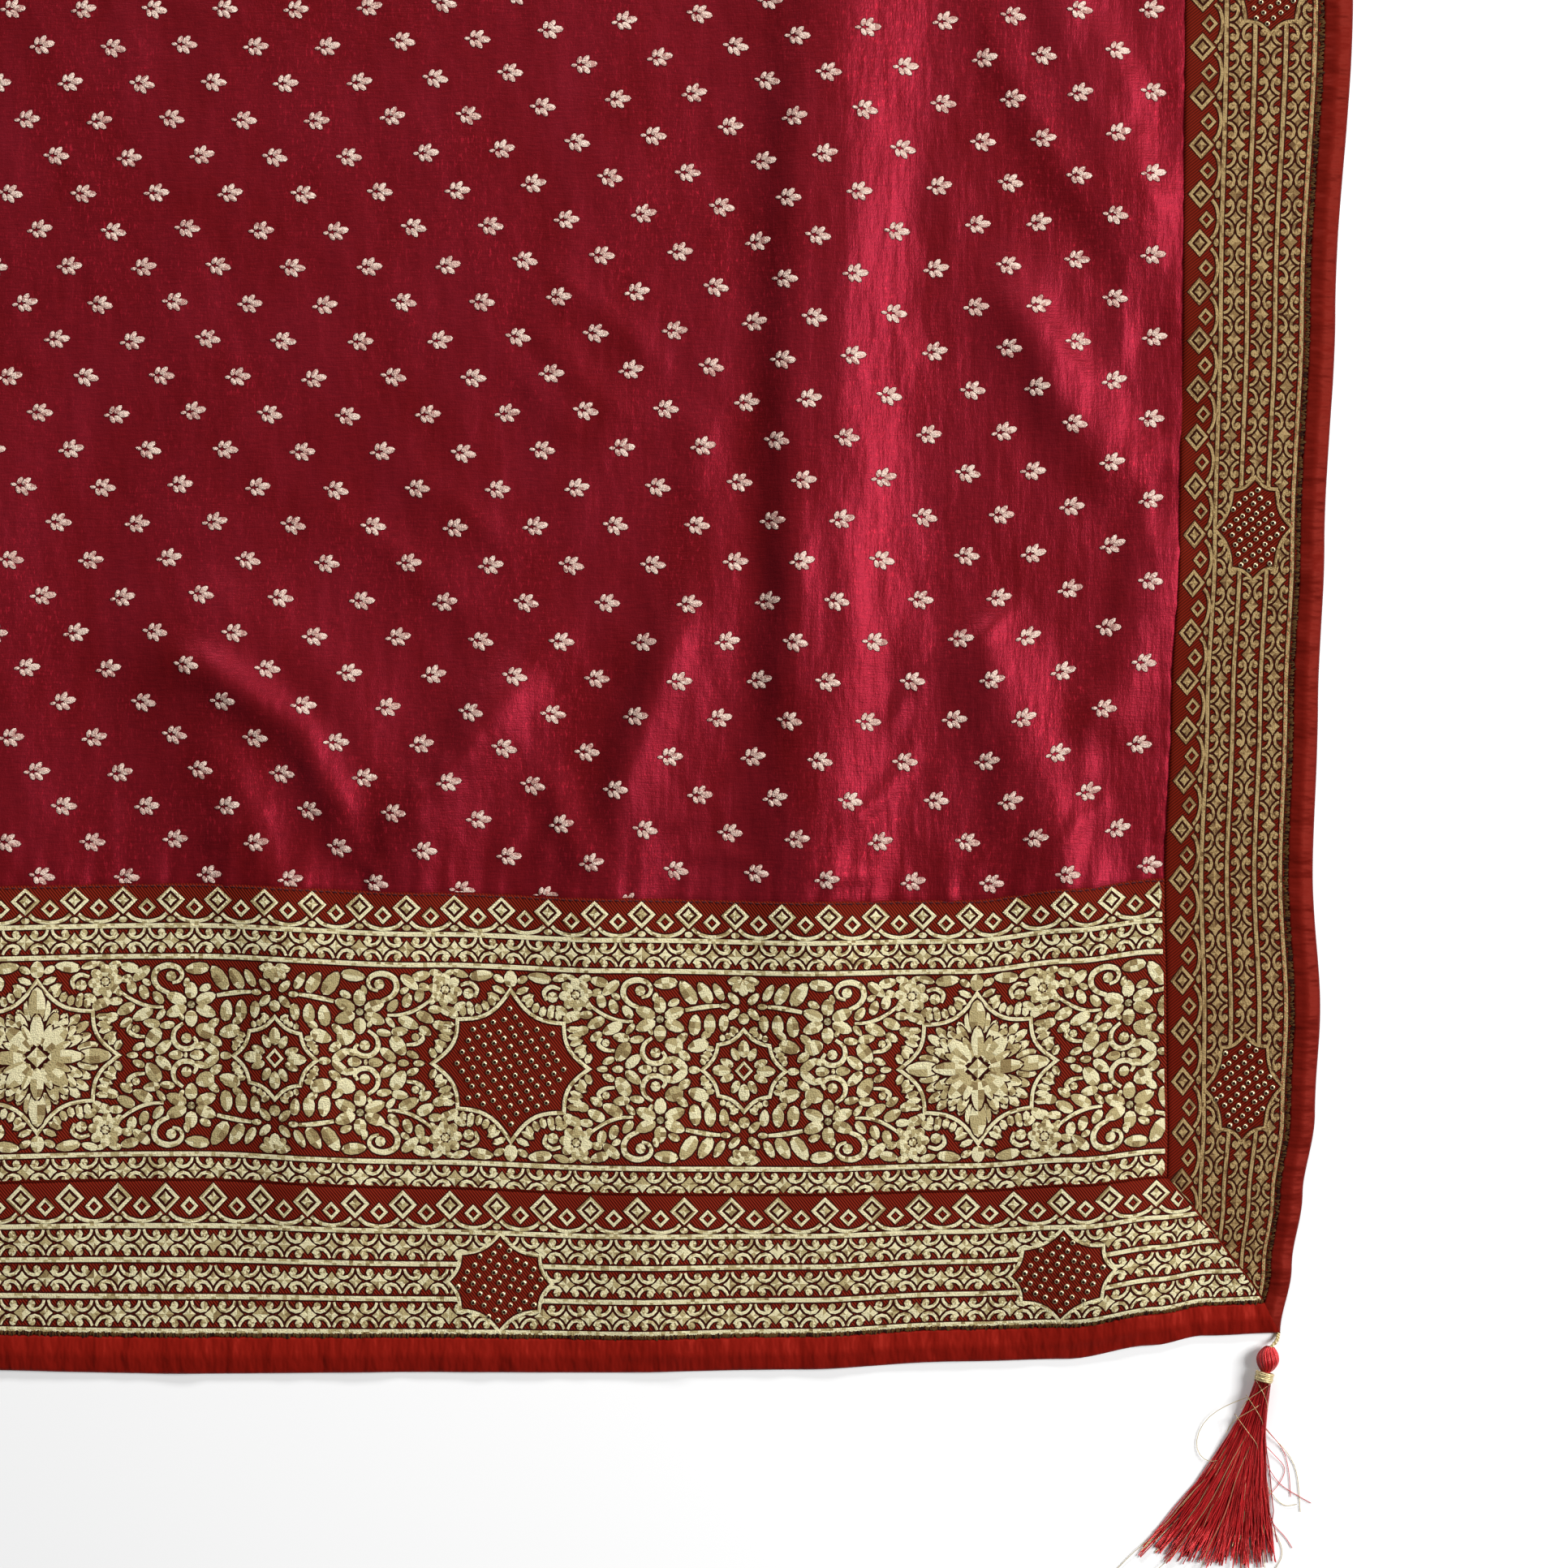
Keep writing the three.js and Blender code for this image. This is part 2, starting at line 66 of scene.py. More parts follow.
# Along a long edge: v, how far outside its line the outer fold lies, and the seam to the ground.
RIGHT_EDGE = np.array([
    (0, -19.5, -7), (28, -15, -5.5), (59, -10.9, -4.6), (90, -6.2, -4.3), (130, -4.2, -4.6), (180, -7, -5.3),
    (245, -5, -2.8), (310, -2.5, 0.2), (400, 1.6, 1.8), (524, 8.4, 2.6), (700, 10, 5), (1150, 2, 2),
    (1800, -5, -4), (2600, 3, 3), (3500, -3, -3), (4500, 4, 4), (SAREE_LENGTH, 0, 0),
], float)
LEFT_EDGE = np.array([
    (0, -9, -4), (110, -3, -2), (420, 3, 2), (1200, -4, -3), (2200, 4, 4), (3300, -4, -4), (4400, 3, 3),
    (SAREE_LENGTH, 0, 0),
], float)

# Across the pallu end: u, and how far it is drawn up at the outer fold, the lace's inner seam and the band's.
PALLU_END = np.array([
    (0, 14.4, 7.5, 9), (37, 13.3, 6.4, 7.8), (62, 9.6, 5.3, 6.4), (94, 4.4, 2.4, 2.6), (135, 3.5, -0.2, -1.9),
    (198, 0.4, -1.6, -2.3), (274, -0.8, -1.2, -1.1), (342, -0.6, 1, 1.1), (436, -1.2, 4.2, 4.5),
    (560, 1, 3, 3), (760, -2, -2, -2), (960, 2, 1, 0), (SAREE_WIDTH, 9, 5, 4),
], float)

PULL_REACH = 380.0  # how far into the ground the drawn edges are felt

# Soft folds: from, bend and to as u, v; then spread and rise.
FOLDS = [
    ((196, 40), (190, 420), (186, 1250), 17, 8),
    ((70, 405), (96, 500), (150, 640), 11, 4.2),
    ((68, 330), (100, 350), (138, 440), 10, 3.6),
    ((92, 232), (70, 270), (64, 330), 9, 3.2),
    ((90, 150), (104, 235), (146, 300), 11, 4.6),
    ((292, 130), (258, 230), (226, 350), 14, 4.6),
    ((372, 120), (350, 205), (300, 275), 13, 4.6),
    ((396, 20), (372, 200), (470, 310), 16, 5.5),
    ((84, 0), (82, 50), (92, 110), 20, 6),
    ((262, 0), (256, 40), (250, 110), 22, 3),
    ((520, 10), (500, 200), (540, 420), 24, 6),
    ((700, 0), (690, 150), (640, 330), 26, 5),
    ((905, 20), (930, 300), (880, 700), 24, 7),
    ((1010, 300), (985, 420), (930, 560), 20, 4),
    ((330, 560), (360, 900), (300, 1500), 34, 7),
    ((640, 700), (700, 1100), (660, 1900), 38, 8),
    ((120, 1300), (150, 1700), (110, 2300), 34, 6),
    ((900, 1100), (860, 1700), (930, 2400), 38, 7),
    ((400, 1700), (360, 2100), (300, 2560), 36, 6),
    ((250, 3000), (280, 3500), (230, 4100), 38, 7),
    ((760, 2950), (700, 3500), (800, 4200), 40, 8),
    ((480, 3500), (520, 4000), (470, 4700), 38, 7),
    ((960, 3700), (930, 4300), (980, 4900), 34, 6),
    ((180, 4500), (210, 4900), (160, 5300), 36, 6),
    ((700, 4600), (740, 5000), (690, 5450), 38, 6),
]
CREST_STEPS, FADE_SHARE, LYING_FLAT = 12, 0.22, 0.35


def smooth(t):
    t = np.clip(t, 0, 1)
    return t * t * (3 - 2 * t)


def mix(a, b, t):
    return a + (b - a) * t


def read_table(rows, at, column):
    keys = rows[:, 0]
    i = np.clip(np.searchsorted(keys, at, side="left"), 1, len(keys) - 1)
    t = smooth((at - keys[i - 1]) / (keys[i] - keys[i - 1]))
    return mix(rows[i - 1, column], rows[i, column], t)


def side_pull(edge, inside, v):
    outer, seam = read_table(edge, v, 1), read_table(edge, v, 2)
    return np.where(
        inside < FIELD_U,
        mix(outer, seam, inside / FIELD_U),
        seam * (1 - smooth((inside - FIELD_U) / PULL_REACH)),
    )


def end_pull(u, v):
    outer, lace, field = (read_table(PALLU_END, u, k) for k in (1, 2, 3))
    inner = np.where(
        v < FIELD_V,
        mix(lace, field, (v - BAND_V) / END_BAND),
        field * (1 - smooth((v - FIELD_V) / PULL_REACH)),
    )
    return np.where(v < BAND_V, mix(outer, lace, v / BAND_V), inner)


# The part's source centres everything on the origin, so the far end of the right-hand edge tells the offset.
_edge = np.array([p.co[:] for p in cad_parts["right_binding"].data.vertices]) / MM
_far = _edge[_edge[:, 1] > _edge[:, 1].max() - 0.01]
OFFSET = np.array([_far[:, 0].max() - SAREE_WIDTH / 2, _far[:, 1].max() - SAREE_LENGTH / 2])


def lay_out(u, v):
    """Where (u, v) of the cut lies on the table, in the row's frame, in millimetres."""
    x = SAREE_WIDTH / 2 - u + side_pull(RIGHT_EDGE, u, v) - side_pull(LEFT_EDGE, SAREE_WIDTH - u, v)
    y = v - SAREE_LENGTH / 2 + end_pull(u, v)
    return x + OFFSET[0], y + OFFSET[1]


def crest_points(start, bend, end, steps=CREST_STEPS):
    t = np.linspace(0, 1, steps + 1)[:, None]
    start, bend, end = (np.array(p, float) for p in (start, bend, end))
    return mix(mix(start, bend, t), mix(bend, end, t), t)


def along_crest(crest, u, v):
    """The distance of each (u, v) from a crest, and the share of the way along it."""
    best = np.full(u.shape, np.inf)
    share = np.zeros(u.shape)
    count = len(crest) - 1
    for i in range(count):
        a, d = crest[i], crest[i + 1] - crest[i]
        t = np.clip(((u - a[0]) * d[0] + (v - a[1]) * d[1]) / (d @ d), 0, 1)
        distance = np.hypot(u - a[0] - t * d[0], v - a[1] - t * d[1])
        nearer = distance < best
        best = np.where(nearer, distance, best)
        share = np.where(nearer, (i + t) / count, share)
    return best, share


def ridge(u, v, crest, spread, rise, fade_share):
    """A rounded ridge along a crest, worked out only for the points near it."""
    lift = np.zeros(u.shape)
    reach = 4 * spread
    low, high = crest.min(0) - reach, crest.max(0) + reach
    near = (u > low[0]) & (u < high[0]) & (v > low[1]) & (v < high[1])
    distance, share = along_crest(crest, u[near], v[near])
    fade = smooth(np.minimum(share, 1 - share) / fade_share)
    lift[near] = rise * fade * np.exp(-((distance / spread) ** 2) / 2)
    return lift


FOLD_CRESTS = [(crest_points(*fold[:3]), fold[3], fold[4]) for fold in FOLDS]


def relief(u, v):
    lift = sum(ridge(u, v, crest, spread, rise, FADE_SHARE) for crest, spread, rise in FOLD_CRESTS)
    return np.maximum(0, lift - LYING_FLAT)


# ---------------------------------------------------------------- finer wrinkles

CREASE_FADE = 0.3  # share of a crease's length over which it rises and dies away at either end
# Thin creases in the ground: points u, v along each, then spread and rise.
CREASES = [
    (((110, 300), (140, 277), (160, 259), (173, 236)), 2.4, 1.5),
    (((152, 242), (169, 221), (188, 204)), 2.2, 1.3),
    (((199, 194), (184, 191), (169, 192)), 2.0, 1.2),
    (((214, 196), (230, 200), (246, 197)), 2.4, 1.0),
    (((289, 218), (296, 205), (304, 190)), 2.6, 1.2),
    (((304, 214), (312, 203), (316, 190)), 2.2, 1.0),
    (((352, 196), (360, 190), (371, 188)), 2.2, 0.9),
    (((78, 216), (92, 207), (106, 190)), 2.4, 1.0),
    (((66, 300), (72, 322), (70, 344)), 2.4, 0.9),
    (((120, 205), (131, 196), (134, 186)), 2.2, 0.9),
    (((224, 226), (238, 214), (262, 208)), 2.6, 0.8),
    (((402, 214), (415, 204), (438, 196)), 2.6, 1.0),
    (((64, 436), (74, 452), (78, 480)), 2.6, 0.9),
    (((88, 372), (104, 386), (118, 412)), 3.0, 0.9),
    (((205, 560), (207, 470), (210, 380), (206, 300), (208, 206)), 6.0, 2.4),
    (((209, 350), (205, 290), (209, 240)), 7.0, 2.2),
    (((219, 480), (222, 400), (223, 330), (222, 262), (217, 210)), 6.5, -1.2),
    (((140, 545), (126, 500), (108, 462), (84, 424)), 6.0, 2.8),
    (((126, 418), (112, 386), (101, 352)), 5.5, 2.0),
    (((74, 402), (66, 372), (62, 340)), 8.0, -2.2),
    (((66, 470), (70, 430), (72, 394)), 4.0, 0.6),
    (((79, 432), (82, 400), (80, 372)), 3.0, 1.1),
    (((63, 388), (68, 360), (66, 336)), 3.0, 1.1),
    (((70, 336), (77, 306), (80, 278)), 3.4, 1.3),
    (((96, 520), (84, 500), (74, 474)), 3.4, 1.2),
    (((372, 188), (367, 204)), 2.4, 1.1),
    (((362, 194), (356, 214)), 2.6, 1.3),
    (((351, 204), (345, 226)), 2.6, 1.3),
    (((341, 215), (334, 236)), 2.6, 1.2),
    (((331, 226), (325, 246)), 2.6, 1.0),
    (((456, 274), (424, 262), (394, 242), (377, 212), (375, 182)), 6.0, 4.6),
    (((452, 306), (414, 284), (380, 254), (362, 216), (362, 186)), 13.0, 3.4),
    (((450, 250), (422, 239), (404, 220), (396, 198), (397, 182)), 7.0, -1.6),
    (((282, 300), (312, 260), (340, 226), (372, 182)), 8.0, 3.2),
    (((300, 236), (290, 210), (279, 186)), 5.5, 2.6),
    (((279, 196), (262, 246), (243, 306)), 6.0, 3.4),
    (((248, 330), (243, 350), (238, 372)), 5.0, 1.2),
    (((322, 396), (302, 372), (284, 352)), 4.5, 1.0),
    (((312, 408), (288, 380), (262, 358)), 4.5, 1.0),
    (((303, 424), (276, 402), (252, 380)), 4.5, 1.0),
    (((362, 352), (330, 326), (303, 308)), 5.0, 1.0),
    (((388, 330), (350, 306), (322, 282)), 5.0, 1.0),
    (((470, 300), (440, 318), (404, 322)), 7.0, 0.8),
    (((186, 330), (183, 290), (186, 240)), 4.0, 0.8),
    (((150, 470), (146, 430), (149, 380)), 4.5, 0.9),
    (((160, 300), (156, 262), (158, 226)), 4.5, 0.9),
    (((132, 300), (128, 262), (134, 228)), 4.5, 1.0),
    (((118, 250), (124, 222), (120, 196)), 4.0, 1.0),
    (((84, 262), (92, 240), (94, 214)), 4.0, 1.2),
]


def waves(at, *terms):
    """A sum of sines of the given wavelengths, as an uneven ripple between about -1 and 1."""
    total = sum(weight * np.sin(2 * np.pi * at / length + phase) for length, weight, phase in terms)
    return total / sum(weight for _, weight, _ in terms)


CALM_FROM, CALM_OVER = 560.0, 110.0  # past this v the small unevenness dies away, over this distance


def near_end(v):
    """1 near the pallu end and 0 in the far part of the cloth."""
    return 1 - smooth((v - CALM_FROM) / CALM_OVER)


def from_edge(u):
    """The distance from the nearer long edge."""
    return np.minimum(u, SAREE_WIDTH - u)


def puckers(u, v):
    """Gathers where the trims are sewn on, and the small unevenness of the cloth between them."""
    ripple = waves(u + 0.1 * v, (9.3, 1, 0.4), (14.7, 1, 2.2), (6.1, 0.7, 1.1), (31, 0.8, 0.2))
    along = waves(v - 0.12 * u, (10.7, 1, 0.9), (17.9, 1, 2.9), (7.3, 0.7, 0.3), (41, 0.8, 1.7))
    above = np.clip(v - FIELD_V, 0, None)
    inside = np.clip(from_edge(u) - FIELD_U, 0, None)
    reach = 11 + 9 * (0.5 + 0.5 * waves(u, (83, 1, 0.3), (47, 1, 1.9)))
    lift = 1.05 * ripple * np.exp(-above / reach) * (v > FIELD_V)
    lift = lift + 0.55 * along * np.exp(-inside / 9) * (inside > 0) * near_end(v)
    soft = waves(u + 0.35 * v, (57, 1, 0.5), (83, 1, 2.5)) * waves(v - 0.2 * u, (97, 1, 1.5), (141, 1, 0.2))
    fine = waves(u - 0.06 * v, (23, 1, 1.3), (17, 0.8, 0.1), (37, 1, 2.0))
    fine = fine * waves(v + 0.3 * u, (61, 1, 0.6), (37, 1, 2.6))
    return lift + (0.4 * soft + 0.28 * fine) * (v > FIELD_V) * smooth(inside / 30) * near_end(v)


def trim_waves(u, v):
    """The gentle waviness of the sewn-on trims, and the fuller folds of the binding."""
    cross = waves(u, (61, 1, 0.3), (37, 0.6, 1.9), (23, 0.4, 0.7))
    along = waves(v, (67, 1, 1.3), (41, 0.6, 0.4), (25, 0.4, 2.7)) * near_end(v)
    on_end = smooth((from_edge(u) - 0.8 * v) / 12 + 0.5)
    cross_folds = waves(u + 0.5 * v, (19, 1, 0.7), (31, 1, 1.1), (12.5, 0.7, 2.0))
    along_folds = waves(v + 0.4 * u, (21, 1, 0.2), (33, 1, 2.1), (13.5, 0.7, 0.6)) * near_end(v)
    share = np.minimum(from_edge(u) / LACE_U, v / LACE_V)
    bound = np.where(share < 1, np.sin(np.pi * np.clip(share, 0, 1)) ** 0.7, 0)
    return 0.35 * (1 + mix(along, cross, on_end)) + 0.5 * bound * (1 + mix(along_folds, cross_folds, on_end))


def wrinkles(u, v):
    lift = np.where(is_ground(u, v), puckers(u, v), trim_waves(u, v))
    for points, spread, rise in CREASES:
        lift = lift + ridge(u, v, np.array(points, float), spread, rise, CREASE_FADE)
    return lift


def is_ground(u, v):
    return (v > FIELD_V) & (from_edge(u) > FIELD_U)


THINNEST = 0.25


def wall(u, v):
    """The thickness of the cloth at (u, v)."""
    share = np.minimum(from_edge(u) / LACE_U, v / LACE_V)
    outer, middle, seam = BINDING_WALL
    folded = np.where(share < 0.5, mix(outer, middle, share * 2), mix(middle, seam, share * 2 - 1))
    woven = np.where(is_ground(u, v), FIELD_WALL, LACE_WALL)
    return np.where(share < 1, folded, woven)


def height(u, v):
    """The height of the cloth's upper face above the table."""
    return np.maximum(THINNEST, relief(u, v) + wrinkles(u, v) + wall(u, v))


# ---------------------------------------------------------------- meshes

def make_piece(name, points_mm, faces, materials, kinds=None):
    """A mesh object from points in millimetres, riding on the one body. faces has four corners each, and a
    triangle repeats its third. kinds gives each face's place in the list of materials."""
    faces = np.asarray(faces)
    kinds = np.zeros(len(faces), np.int32) if kinds is None else np.asarray(kinds, np.int32)
    triangle = faces[:, 2] == faces[:, 3]
    loops = np.concatenate([faces[~triangle].ravel(), faces[triangle][:, :3].ravel()]).astype(np.int32)
    totals = np.concatenate([np.full((~triangle).sum(), 4), np.full(triangle.sum(), 3)]).astype(np.int32)
    starts = np.concatenate([[0], np.cumsum(totals)[:-1]]).astype(np.int32)
    mesh = bpy.data.meshes.new(name)
    mesh.vertices.add(len(points_mm))
    mesh.vertices.foreach_set("co", (np.asarray(points_mm, float) * MM).astype(np.float32).ravel())
    mesh.loops.add(len(loops))
    mesh.loops.foreach_set("vertex_index", loops)
    mesh.polygons.add(len(totals))
    mesh.polygons.foreach_set("loop_start", starts)
    mesh.polygons.foreach_set("loop_total", totals)
    for material in materials:
        mesh.materials.append(material)
    mesh.polygons.foreach_set("material_index", np.concatenate([kinds[~triangle], kinds[triangle]]))
    mesh.polygons.foreach_set("use_smooth", np.full(len(totals), True))
    mesh.update(calc_edges=True)
    piece = bpy.data.objects.new(name, mesh)
    bpy.context.scene.collection.objects.link(piece)
    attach(piece, "root")
    return piece


def grid_faces(rows, columns):
    """Quads of a grid whose columns run with rising u and rows with rising v, facing up."""
    j, i = np.meshgrid(np.arange(rows - 1), np.arange(columns - 1), indexing="ij")
    a = (j * columns + i).ravel()
    return np.stack([a, a + columns, a + columns + 1, a + 1], 1)


def spaced(start, end, step):
    return np.linspace(start, end, max(2, int(round(abs(end - start) / step)) + 1))


def joined(*runs):
    return np.unique(np.round(np.concatenate(runs), 4))


# How far apart the shells' points lie: in the framed part, just past it, and far off, by v and by u
FINE, COARSE, FAR, WIDE = 2.3, 6.0, 20.0, 10.0
FRAMED_U, FRAMED_V, NEAR_V = 525.0, 575.0, 680.0
CORNER_U = 150.0  # within this distance of a long edge, a trim's columns slant with its mitre
HEM_V = SAREE_LENGTH - HEM_WIDTH
NEAR_ROWS = joined(spaced(FIELD_V, FRAMED_V, FINE), spaced(FRAMED_V, NEAR_V, COARSE))
FAR_ROWS = spaced(NEAR_V + FAR, HEM_V, FAR)
LONG_U = joined(spaced(CORNER_U, FRAMED_U, FINE), spaced(FRAMED_U, SAREE_WIDTH - CORNER_U, WIDE))


def mitre_v(inside):
    beyond = LACE_V + (inside - LACE_U) / SIDE_LACE * END_LACE
    return np.where(inside < LACE_U, inside / LACE_U * LACE_V, beyond)


def mitre_u(v):
    return np.where(v < LACE_V, v / LACE_V * LACE_U, LACE_U + (v - LACE_V) / END_LACE * SIDE_LACE)


def shell(name, u, v, drop, material, node):
    """A thin shell over a grid of (u, v). drop says how far each point lies below the cloth's upper face."""
    x, y = lay_out(u, v)
    z = np.maximum(0.05, height(u, v) - drop)
    points = np.stack([x, y, z], -1).reshape(-1, 3)
    piece = make_piece(name, points, grid_faces(*u.shape), [material])
    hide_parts(node)
    return piece


LIP = np.array([0.0, 0.25, 0.9])  # places across a folded edge, from the edge inwards
LIP_DROP = np.array([1.1, 0.35, 0.0])  # how far the upper face lies below the cloth there


def with_lips(places):
    """Adds a folded edge at either end of a run of places. Gives the places and their drops."""
    at = np.concatenate([places[0] + LIP, places[1:-1], places[-1] - LIP[::-1]])
    drop = np.concatenate([LIP_DROP, np.zeros(len(places) - 2), LIP_DROP[::-1]])
    order = np.argsort(at, kind="stable")
    return at[order], drop[order]


def end_shell(name, outer_v, inner_v, step, material, node, square=False):
    """A trim across the pallu end. Its rows run from mitre to mitre, or from seam to seam if it is square."""
    rows, row_drop = with_lips(spaced(outer_v, inner_v, step))
    starts = np.full(len(rows), FIELD_U) if square else mitre_u(rows)
    corner = mix(starts[:, None], CORNER_U, np.linspace(0, 1, 40)[:-1])
    u = np.hstack([corner, np.tile(LONG_U, (len(rows), 1)), SAREE_WIDTH - corner[:, ::-1]])
    v, drop = (np.repeat(run[:, None], u.shape[1], 1) for run in (rows, row_drop))
    return shell(name, u, v, drop, material, node)


def side_shell(name, outer_u, inner_u, step, on_left, material, node):
    """A trim along one long edge, mitred at the pallu end. The left one is coarser."""
    columns, column_drop = with_lips(spaced(outer_u, inner_u, step))
    rows, corner_rows = (spaced(FIELD_V, NEAR_V, WIDE), 30) if on_left else (NEAR_ROWS, 76)
    rows = joined(rows, FAR_ROWS, [SAREE_LENGTH])
    corner = mix(mitre_v(columns), FIELD_V, np.linspace(0, 1, corner_rows)[:-1, None])
    v = np.concatenate([corner, np.repeat(rows[:, None], len(columns), 1)])
    u, drop = (np.tile(run, (len(v), 1)) for run in (columns, column_drop))
    if on_left:
        u, v, drop = SAREE_WIDTH - u[:, ::-1], v[:, ::-1], drop[:, ::-1]
    return shell(name, u, v, drop, material, node)


def ground_shell(material):
    """The ground cloth. It reaches a little under the trims, has wider columns past the near part, and ends
    in the turned hem."""
    under, keep_every = 1.2, 5
    columns = joined(
        spaced(FIELD_U - under, FRAMED_U, FINE), spaced(FRAMED_U, SAREE_WIDTH - FIELD_U + under, WIDE)
    )
    rows = joined([FIELD_V - under], NEAR_ROWS)
    kept = np.unique(np.append(np.arange(0, len(columns), keep_every), [len(columns) - 1]))
    wide = columns > FRAMED_U
    kept = np.unique(np.concatenate([kept[~wide[kept]], np.nonzero(wide)[0]]))
    far_rows = np.concatenate([FAR_ROWS, [HEM_V + 0.8, HEM_V + 6, SAREE_LENGTH - 0.6, SAREE_LENGTH]])
    near_u, near_v = np.meshgrid(columns, rows)
    far_u, far_v = np.meshgrid(columns[kept], far_rows)
    u, v = (np.concatenate([near.ravel(), far.ravel()]) for near, far in ((near_u, far_u), (near_v, far_v)))
    drop = np.where(np.minimum(from_edge(u) - FIELD_U, v - FIELD_V) < 0, 0.5, 0.0)
    drop = np.where(v > HEM_V + 0.5, FIELD_WALL - HEM_WALL, drop)
    drop = np.where(v > SAREE_LENGTH - 0.1, 0.8, drop)
    x, y = lay_out(u, v)
    # the strip under the trims takes the ground's height, not the trims'
    inner_u = np.clip(u, FIELD_U + 0.01, SAREE_WIDTH - FIELD_U - 0.01)
    z = np.maximum(0.05, height(inner_u, np.maximum(v, FIELD_V + 0.01)) - drop)
    # each far column takes up several near ones, in a fan of triangles
    last = (len(rows) - 1) * len(columns)
    joint = []
    for k, (a, b) in enumerate(zip(kept[:-1], kept[1:])):
        left, right = near_u.size + k, near_u.size + k + 1
        joint += [(last + i, left, last + i + 1, last + i + 1) for i in range(a, b)]
        joint.append((last + b, left, right, right))
    faces = np.concatenate([
        grid_faces(*near_u.shape), np.array(joint), grid_faces(*far_u.shape) + near_u.size
    ])
    piece = make_piece("ground_shell", np.stack([x, y, z], 1), faces, [material])
    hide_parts("field_cloth")


# ---------------------------------------------------------------- materials

def node_material(name, **settings):
    """A Principled material. A setting's name is the socket's, in lower case with underscores."""
    material = bpy.data.materials.new(name)
    material.use_nodes = True
    tree = material.node_tree
    shader = tree.nodes["Principled BSDF"]
    for key, value in settings.items():
        socket = next(s for s in shader.inputs if s.name.lower().replace(" ", "_") == key)
        socket.default_value = (*value, 1.0) if isinstance(value, tuple) and len(value) == 3 else value
    return material, tree, shader


def placed_at(tree, kind, **mapped):
    """A texture node in object space, with the mapping's settings, such as Scale, given by name."""
    place = tree.nodes.new("ShaderNodeTexCoord")
    mapping = tree.nodes.new("ShaderNodeMapping")
    for name, value in mapped.items():
        mapping.inputs[name].default_value = value
    tree.links.new(place.outputs["Object"], mapping.inputs["Vector"])
    texture = tree.nodes.new(kind)
    tree.links.new(mapping.outputs["Vector"], texture.inputs["Vector"])
    return texture


def set_inputs(node, **values):
    """Sets a node's sockets. A name's underscores stand for spaces."""
    for name, value in values.items():
        node.inputs[name.replace("_", " ")].default_value = value


def stretched_noise(tree, scale, detail=3.0, rough=0.6):
    """Noise in object space, with its own scale along each axis, in cycles a metre."""
    noise = placed_at(tree, "ShaderNodeTexNoise", Scale=scale)
    set_inputs(noise, Scale=1.0, Detail=detail, Roughness=rough)
    return noise.outputs["Fac"]


def diagonal_bands(tree, pitch_mm, angle):
    """Twill lines in object space."""
    wave = placed_at(tree, "ShaderNodeTexWave", Rotation=(0, 0, angle))
    wave.wave_type, wave.bands_direction = "BANDS", "X"
    scale = 2 * math.pi / (20 * pitch_mm * MM)  # Blender's bands are 2 pi / 20 apart at a scale of 1
    set_inputs(wave, Scale=scale, Distortion=0.4, Detail=1.0, Detail_Scale=2.0)
    return wave.outputs["Fac"]


def bump(tree, shader, height_socket, distance_mm, below=None):
    """A bump on top of the one below, which also goes to the shader unless that is None."""
    node = tree.nodes.new("ShaderNodeBump")
    set_inputs(node, Distance=distance_mm * MM, Strength=1.0)
    tree.links.new(height_socket, node.inputs["Height"])
    if below is not None:
        tree.links.new(below, node.inputs["Normal"])
    if shader is not None:
        tree.links.new(node.outputs["Normal"], shader.inputs["Normal"])
    return node.outputs["Normal"]


def ramp(tree, socket, *stops):
    node = tree.nodes.new("ShaderNodeValToRGB")
    while len(node.color_ramp.elements) < len(stops):
        node.color_ramp.elements.new(0.5)
    for element, (position, colour) in zip(node.color_ramp.elements, stops):
        element.position = position
        element.color = (*colour, 1.0)
    tree.links.new(socket, node.inputs["Fac"])
    return node.outputs["Color"]


def blended(tree, kind, share, first, second):
    """Mixes two colours. Each value is a socket, a colour or a number."""
    node = tree.nodes.new("ShaderNodeMix")
    node.data_type, node.blend_type, node.clamp_factor = "RGBA", kind, True
    for socket, value in ((node.inputs[0], share), (node.inputs[6], first), (node.inputs[7], second)):
        if isinstance(value, bpy.types.NodeSocket):
            tree.links.new(value, socket)
        else:
            socket.default_value = (*value, 1.0) if isinstance(value, tuple) else value
    return node.outputs[2]


CRINKLED_X = (0.22, 0.42)  # where the crinkles begin to deepen and are deepest, in metres of the row's x


